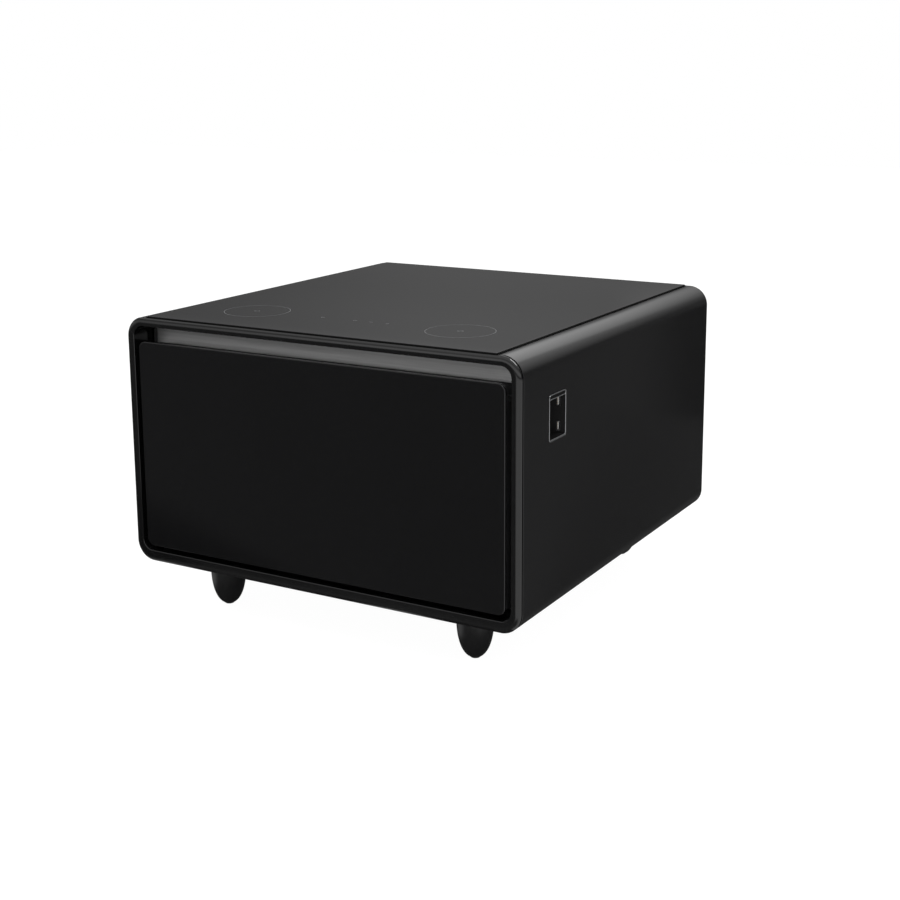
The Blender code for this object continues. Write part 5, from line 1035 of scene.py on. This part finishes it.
def glowingSheet(name, corners, faces, makeLevel):
    mesh = bpy.data.meshes.new(name)
    mesh.from_pydata(corners, [], faces)
    item = addObject(name, mesh)
    material = bpy.data.materials.new(name + "Glow")
    tree = emptyTree(material)
    place = addNode(tree, "TexCoord").outputs["Object"]
    glow = addNode(tree, "Emission", {"Color": linear("ffffff"), "Strength": makeLevel(tree, place)})
    addNode(tree, "OutputMaterial", {"Surface": glow.outputs[0]})
    mesh.materials.append(material)
    onlyInGloss(item)


def floorLevel(tree, place):
    # dark where the front and the side mirror the floor, white in front of the corner between them
    apex = studio["cardApex"]
    away = addNode(tree, "VectorMath", {0: place, 1: apex}, operation="SUBTRACT").outputs["Vector"]
    unit = addNode(tree, "VectorMath", {0: away}, operation="NORMALIZE").outputs["Vector"]
    level = studio["cardDark"]
    for wedge in wedges:
        turn, spread, soft = (math.radians(wedge[key]) for key in ("heading", "spread", "soft"))
        middle = (math.cos(turn), math.sin(turn), 0.0)
        lean = addNode(tree, "VectorMath", {0: unit, 1: middle}, operation="DOT_PRODUCT").outputs["Value"]
        limits = {"Value": lean, "From Min": math.cos(spread + soft), "From Max": math.cos(spread - soft)}
        share = addNode(tree, "MapRange", limits, interpolation_type="SMOOTHSTEP").outputs["Result"]
        level = addNode(tree, "Mix", {0: share, 2: level, 3: wedge["level"]}, data_type="FLOAT").outputs[0]
    split = addNode(tree, "SeparateXYZ", {"Vector": place})
    aside = addNode(tree, "Math", {0: split.outputs["X"]}, operation="ABSOLUTE").outputs["Value"]
    for field in (band, shade):
        narrow = smoothRamp(tree, aside, ((field["across"][0], 1.0), (field["across"][1], 0.0)))
        deep = smoothRamp(tree, split.outputs["Y"], field["deep"])
        share = addNode(tree, "Math", {0: narrow, 1: deep}, operation="MULTIPLY").outputs["Value"]
        level = addNode(tree, "Mix", {0: share, 2: level, 3: field["level"]}, data_type="FLOAT").outputs[0]
    for x, y in patches["places"]:
        distance = addNode(tree, "VectorMath", {0: place, 1: (x, y, 0.0)}, operation="DISTANCE")
        share = smoothRamp(tree, distance.outputs["Value"], patches["reach"])
        level = addNode(tree, "Mix", {0: share, 2: level, 3: patches["level"]}, data_type="FLOAT").outputs[0]
    return level


# the far wall: grey all round, but pale in front, where the grip strip and the bezel's top rim mirror it
farWall = {
    "grey": 0.14,
    "ahead": ((-1.2, 1.0), (-0.4, 0.0)),
    "above": ((0.15, 0.0), (0.60, 1.0), (1.20, 1.0), (1.80, 0.45)),
    "along": ((-2.9, 0.66), (-1.8, 1.25)),
}


def wallLevel(tree, place):
    split = addNode(tree, "SeparateXYZ", {"Vector": place}).outputs
    ahead = smoothRamp(tree, split["Y"], farWall["ahead"])
    above = smoothRamp(tree, split["Z"], farWall["above"])
    pale = addNode(tree, "Math", {0: ahead, 1: above}, operation="MULTIPLY").outputs["Value"]
    ends = {2: farWall["grey"], 3: smoothRamp(tree, split["X"], farWall["along"])}
    return addNode(tree, "Mix", {0: pale, **ends}, data_type="FLOAT").outputs[0]


# the sheet close behind the table: each column of it climbs from grey to bright in its own way, as the
# top glass, the crown of the shoulder and its right side mirror it. It is a little darker to the far left,
# and low down beside the table's back corner, as the top glass and the side's far end show
sheet = {
    "away": 1.20, "left": -2.6, "right": 2.0, "height": 3.0,
    "behindGlass": (
        (0.52, 0.14), (0.62, 0.18), (0.78, 0.22), (0.90, 0.66), (1.00, 1.00), (1.10, 1.30), (1.30, 1.70),
    ),
    "behindCrown": (
        (0.50, 0.14), (0.58, 0.18), (0.66, 0.31), (0.74, 0.50),
        (0.85, 0.76), (1.00, 1.12), (1.25, 1.55), (1.40, 1.80),
    ),
    "behindSide": ((0.50, 0.11), (0.62, 0.22), (0.75, 0.38), (0.95, 0.58), (1.10, 0.80)),
    "crownStart": ((-0.25, 0.0), (0.02, 1.0)),
    "sideStart": ((0.58, 0.0), (0.68, 1.0)),
    "farLeft": ((-2.6, 0.15), (-1.6, 0.60), (-0.5, 1.0)),
    "lifted": ((0.25, 0.35), (0.45, 1.0)),
    "aside": ((0.68, 0.35), (0.82, 1.0)),
}


def sheetLevel(tree, place):
    split = addNode(tree, "SeparateXYZ", {"Vector": place}).outputs
    level = smoothRamp(tree, split["Z"], sheet["behindGlass"])
    left = smoothRamp(tree, split["X"], sheet["farLeft"])
    level = addNode(tree, "Math", {0: level, 1: left}, operation="MULTIPLY").outputs["Value"]
    for column, start in (("behindCrown", "crownStart"), ("behindSide", "sideStart")):
        climb = smoothRamp(tree, split["Z"], sheet[column])
        share = smoothRamp(tree, split["X"], sheet[start])
        level = addNode(tree, "Mix", {0: share, 2: level, 3: climb}, data_type="FLOAT").outputs[0]
    lifted = smoothRamp(tree, split["Z"], sheet["lifted"])
    aside = smoothRamp(tree, split["X"], sheet["aside"])
    dim = addNode(tree, "Math", {0: lifted, 1: aside}, operation="MAXIMUM").outputs["Value"]
    return addNode(tree, "Math", {0: level, 1: dim}, operation="MULTIPLY").outputs["Value"]


# a small bright card above: only the bezel's rolled corner and the drawer glass's edge throw it back
overhead = {"low": (0.55, -0.60), "high": (1.75, 0.10), "height": 2.2, "level": 16.0}


def makeCards():
    steps = studio["wallSteps"]
    ring = circlePoints(studio["cardRadius"], steps)
    glowingSheet("floorCard", inPlane("Z", ring, studio["cardLift"]), [range(steps)], floorLevel)
    corners = inPlane("Z", ring, 0.0) + inPlane("Z", ring, studio["wallHeight"])
    turns = [(here, (here + 1) % steps) for here in range(steps)]
    faces = [(here, after, steps + after, steps + here) for here, after in turns]
    glowingSheet("wallCard", corners, faces, wallLevel)
    corners = inPlane("Y", rectPoints(sheet["left"], 0.0, sheet["right"], sheet["height"]), sheet["away"])
    glowingSheet("backCard", corners, [range(4)], sheetLevel)
    corners = inPlane("Z", rectPoints(*overhead["low"], *overhead["high"]), overhead["height"])
    glowingSheet("cornerCard", corners, [range(4)], lambda tree, place: overhead["level"])


# softboxes: size and place in metres, power in watts, and the point they face
lamps = {
    "overheadSoftbox": {"place": (-0.6, -0.9, 2.6), "size": (2.2, 1.6), "power": 40.0, "aim": (0.0, 0.0, 0.3)},
    "backSoftbox": {"place": (1.1, 2.6, 2.2), "size": (1.8, 1.2), "power": 30.0, "aim": (0.1, 0.0, 0.4)},
}


def makeLamps():
    for name, values in lamps.items():
        data = bpy.data.lights.new(name, "AREA")
        data.shape = "RECTANGLE"
        data.size, data.size_y = values["size"]
        data.energy = values["power"]
        item = addObject(name, data)
        item.location = values["place"]
        facing = Vector(values["aim"]) - Vector(values["place"])
        item.rotation_euler = facing.to_track_quat("-Z", "Y").to_euler()
        item.visible_camera = False
        item.visible_glossy = False


# camera fitted to the photograph: where it stands, how it is turned in degrees, and its lens
shot = {
    "place": (1.15782, -1.94544, 0.81724),
    "turn": 30.0670,
    "dip": 11.5654,
    "roll": -0.3171,
    "lens": 59.407,
    "sensor": 36.0,
    "shift": (0.0, -0.10),
    "clip": (0.05, 100.0),
}


def makeCamera():
    data = bpy.data.cameras.new("shotCamera")
    data.sensor_fit = "HORIZONTAL"
    data.sensor_width = shot["sensor"]
    data.lens = shot["lens"]
    data.shift_x, data.shift_y = shot["shift"]
    data.clip_start, data.clip_end = shot["clip"]
    item = addObject("shotCamera", data)
    item.matrix_world = (
        Matrix.Translation(shot["place"])
        @ Matrix.Rotation(math.radians(shot["turn"]), 4, "Z")
        @ Matrix.Rotation(math.radians(90.0 - shot["dip"]), 4, "X")
        @ Matrix.Rotation(math.radians(shot["roll"]), 4, "Z")
    )
    bpy.context.scene.camera = item


makeWorld()
makeFloor()
makeCards()
makeLamps()
makeCamera()
bpy.context.scene.view_settings.view_transform = "Standard"
print("studio and camera set")
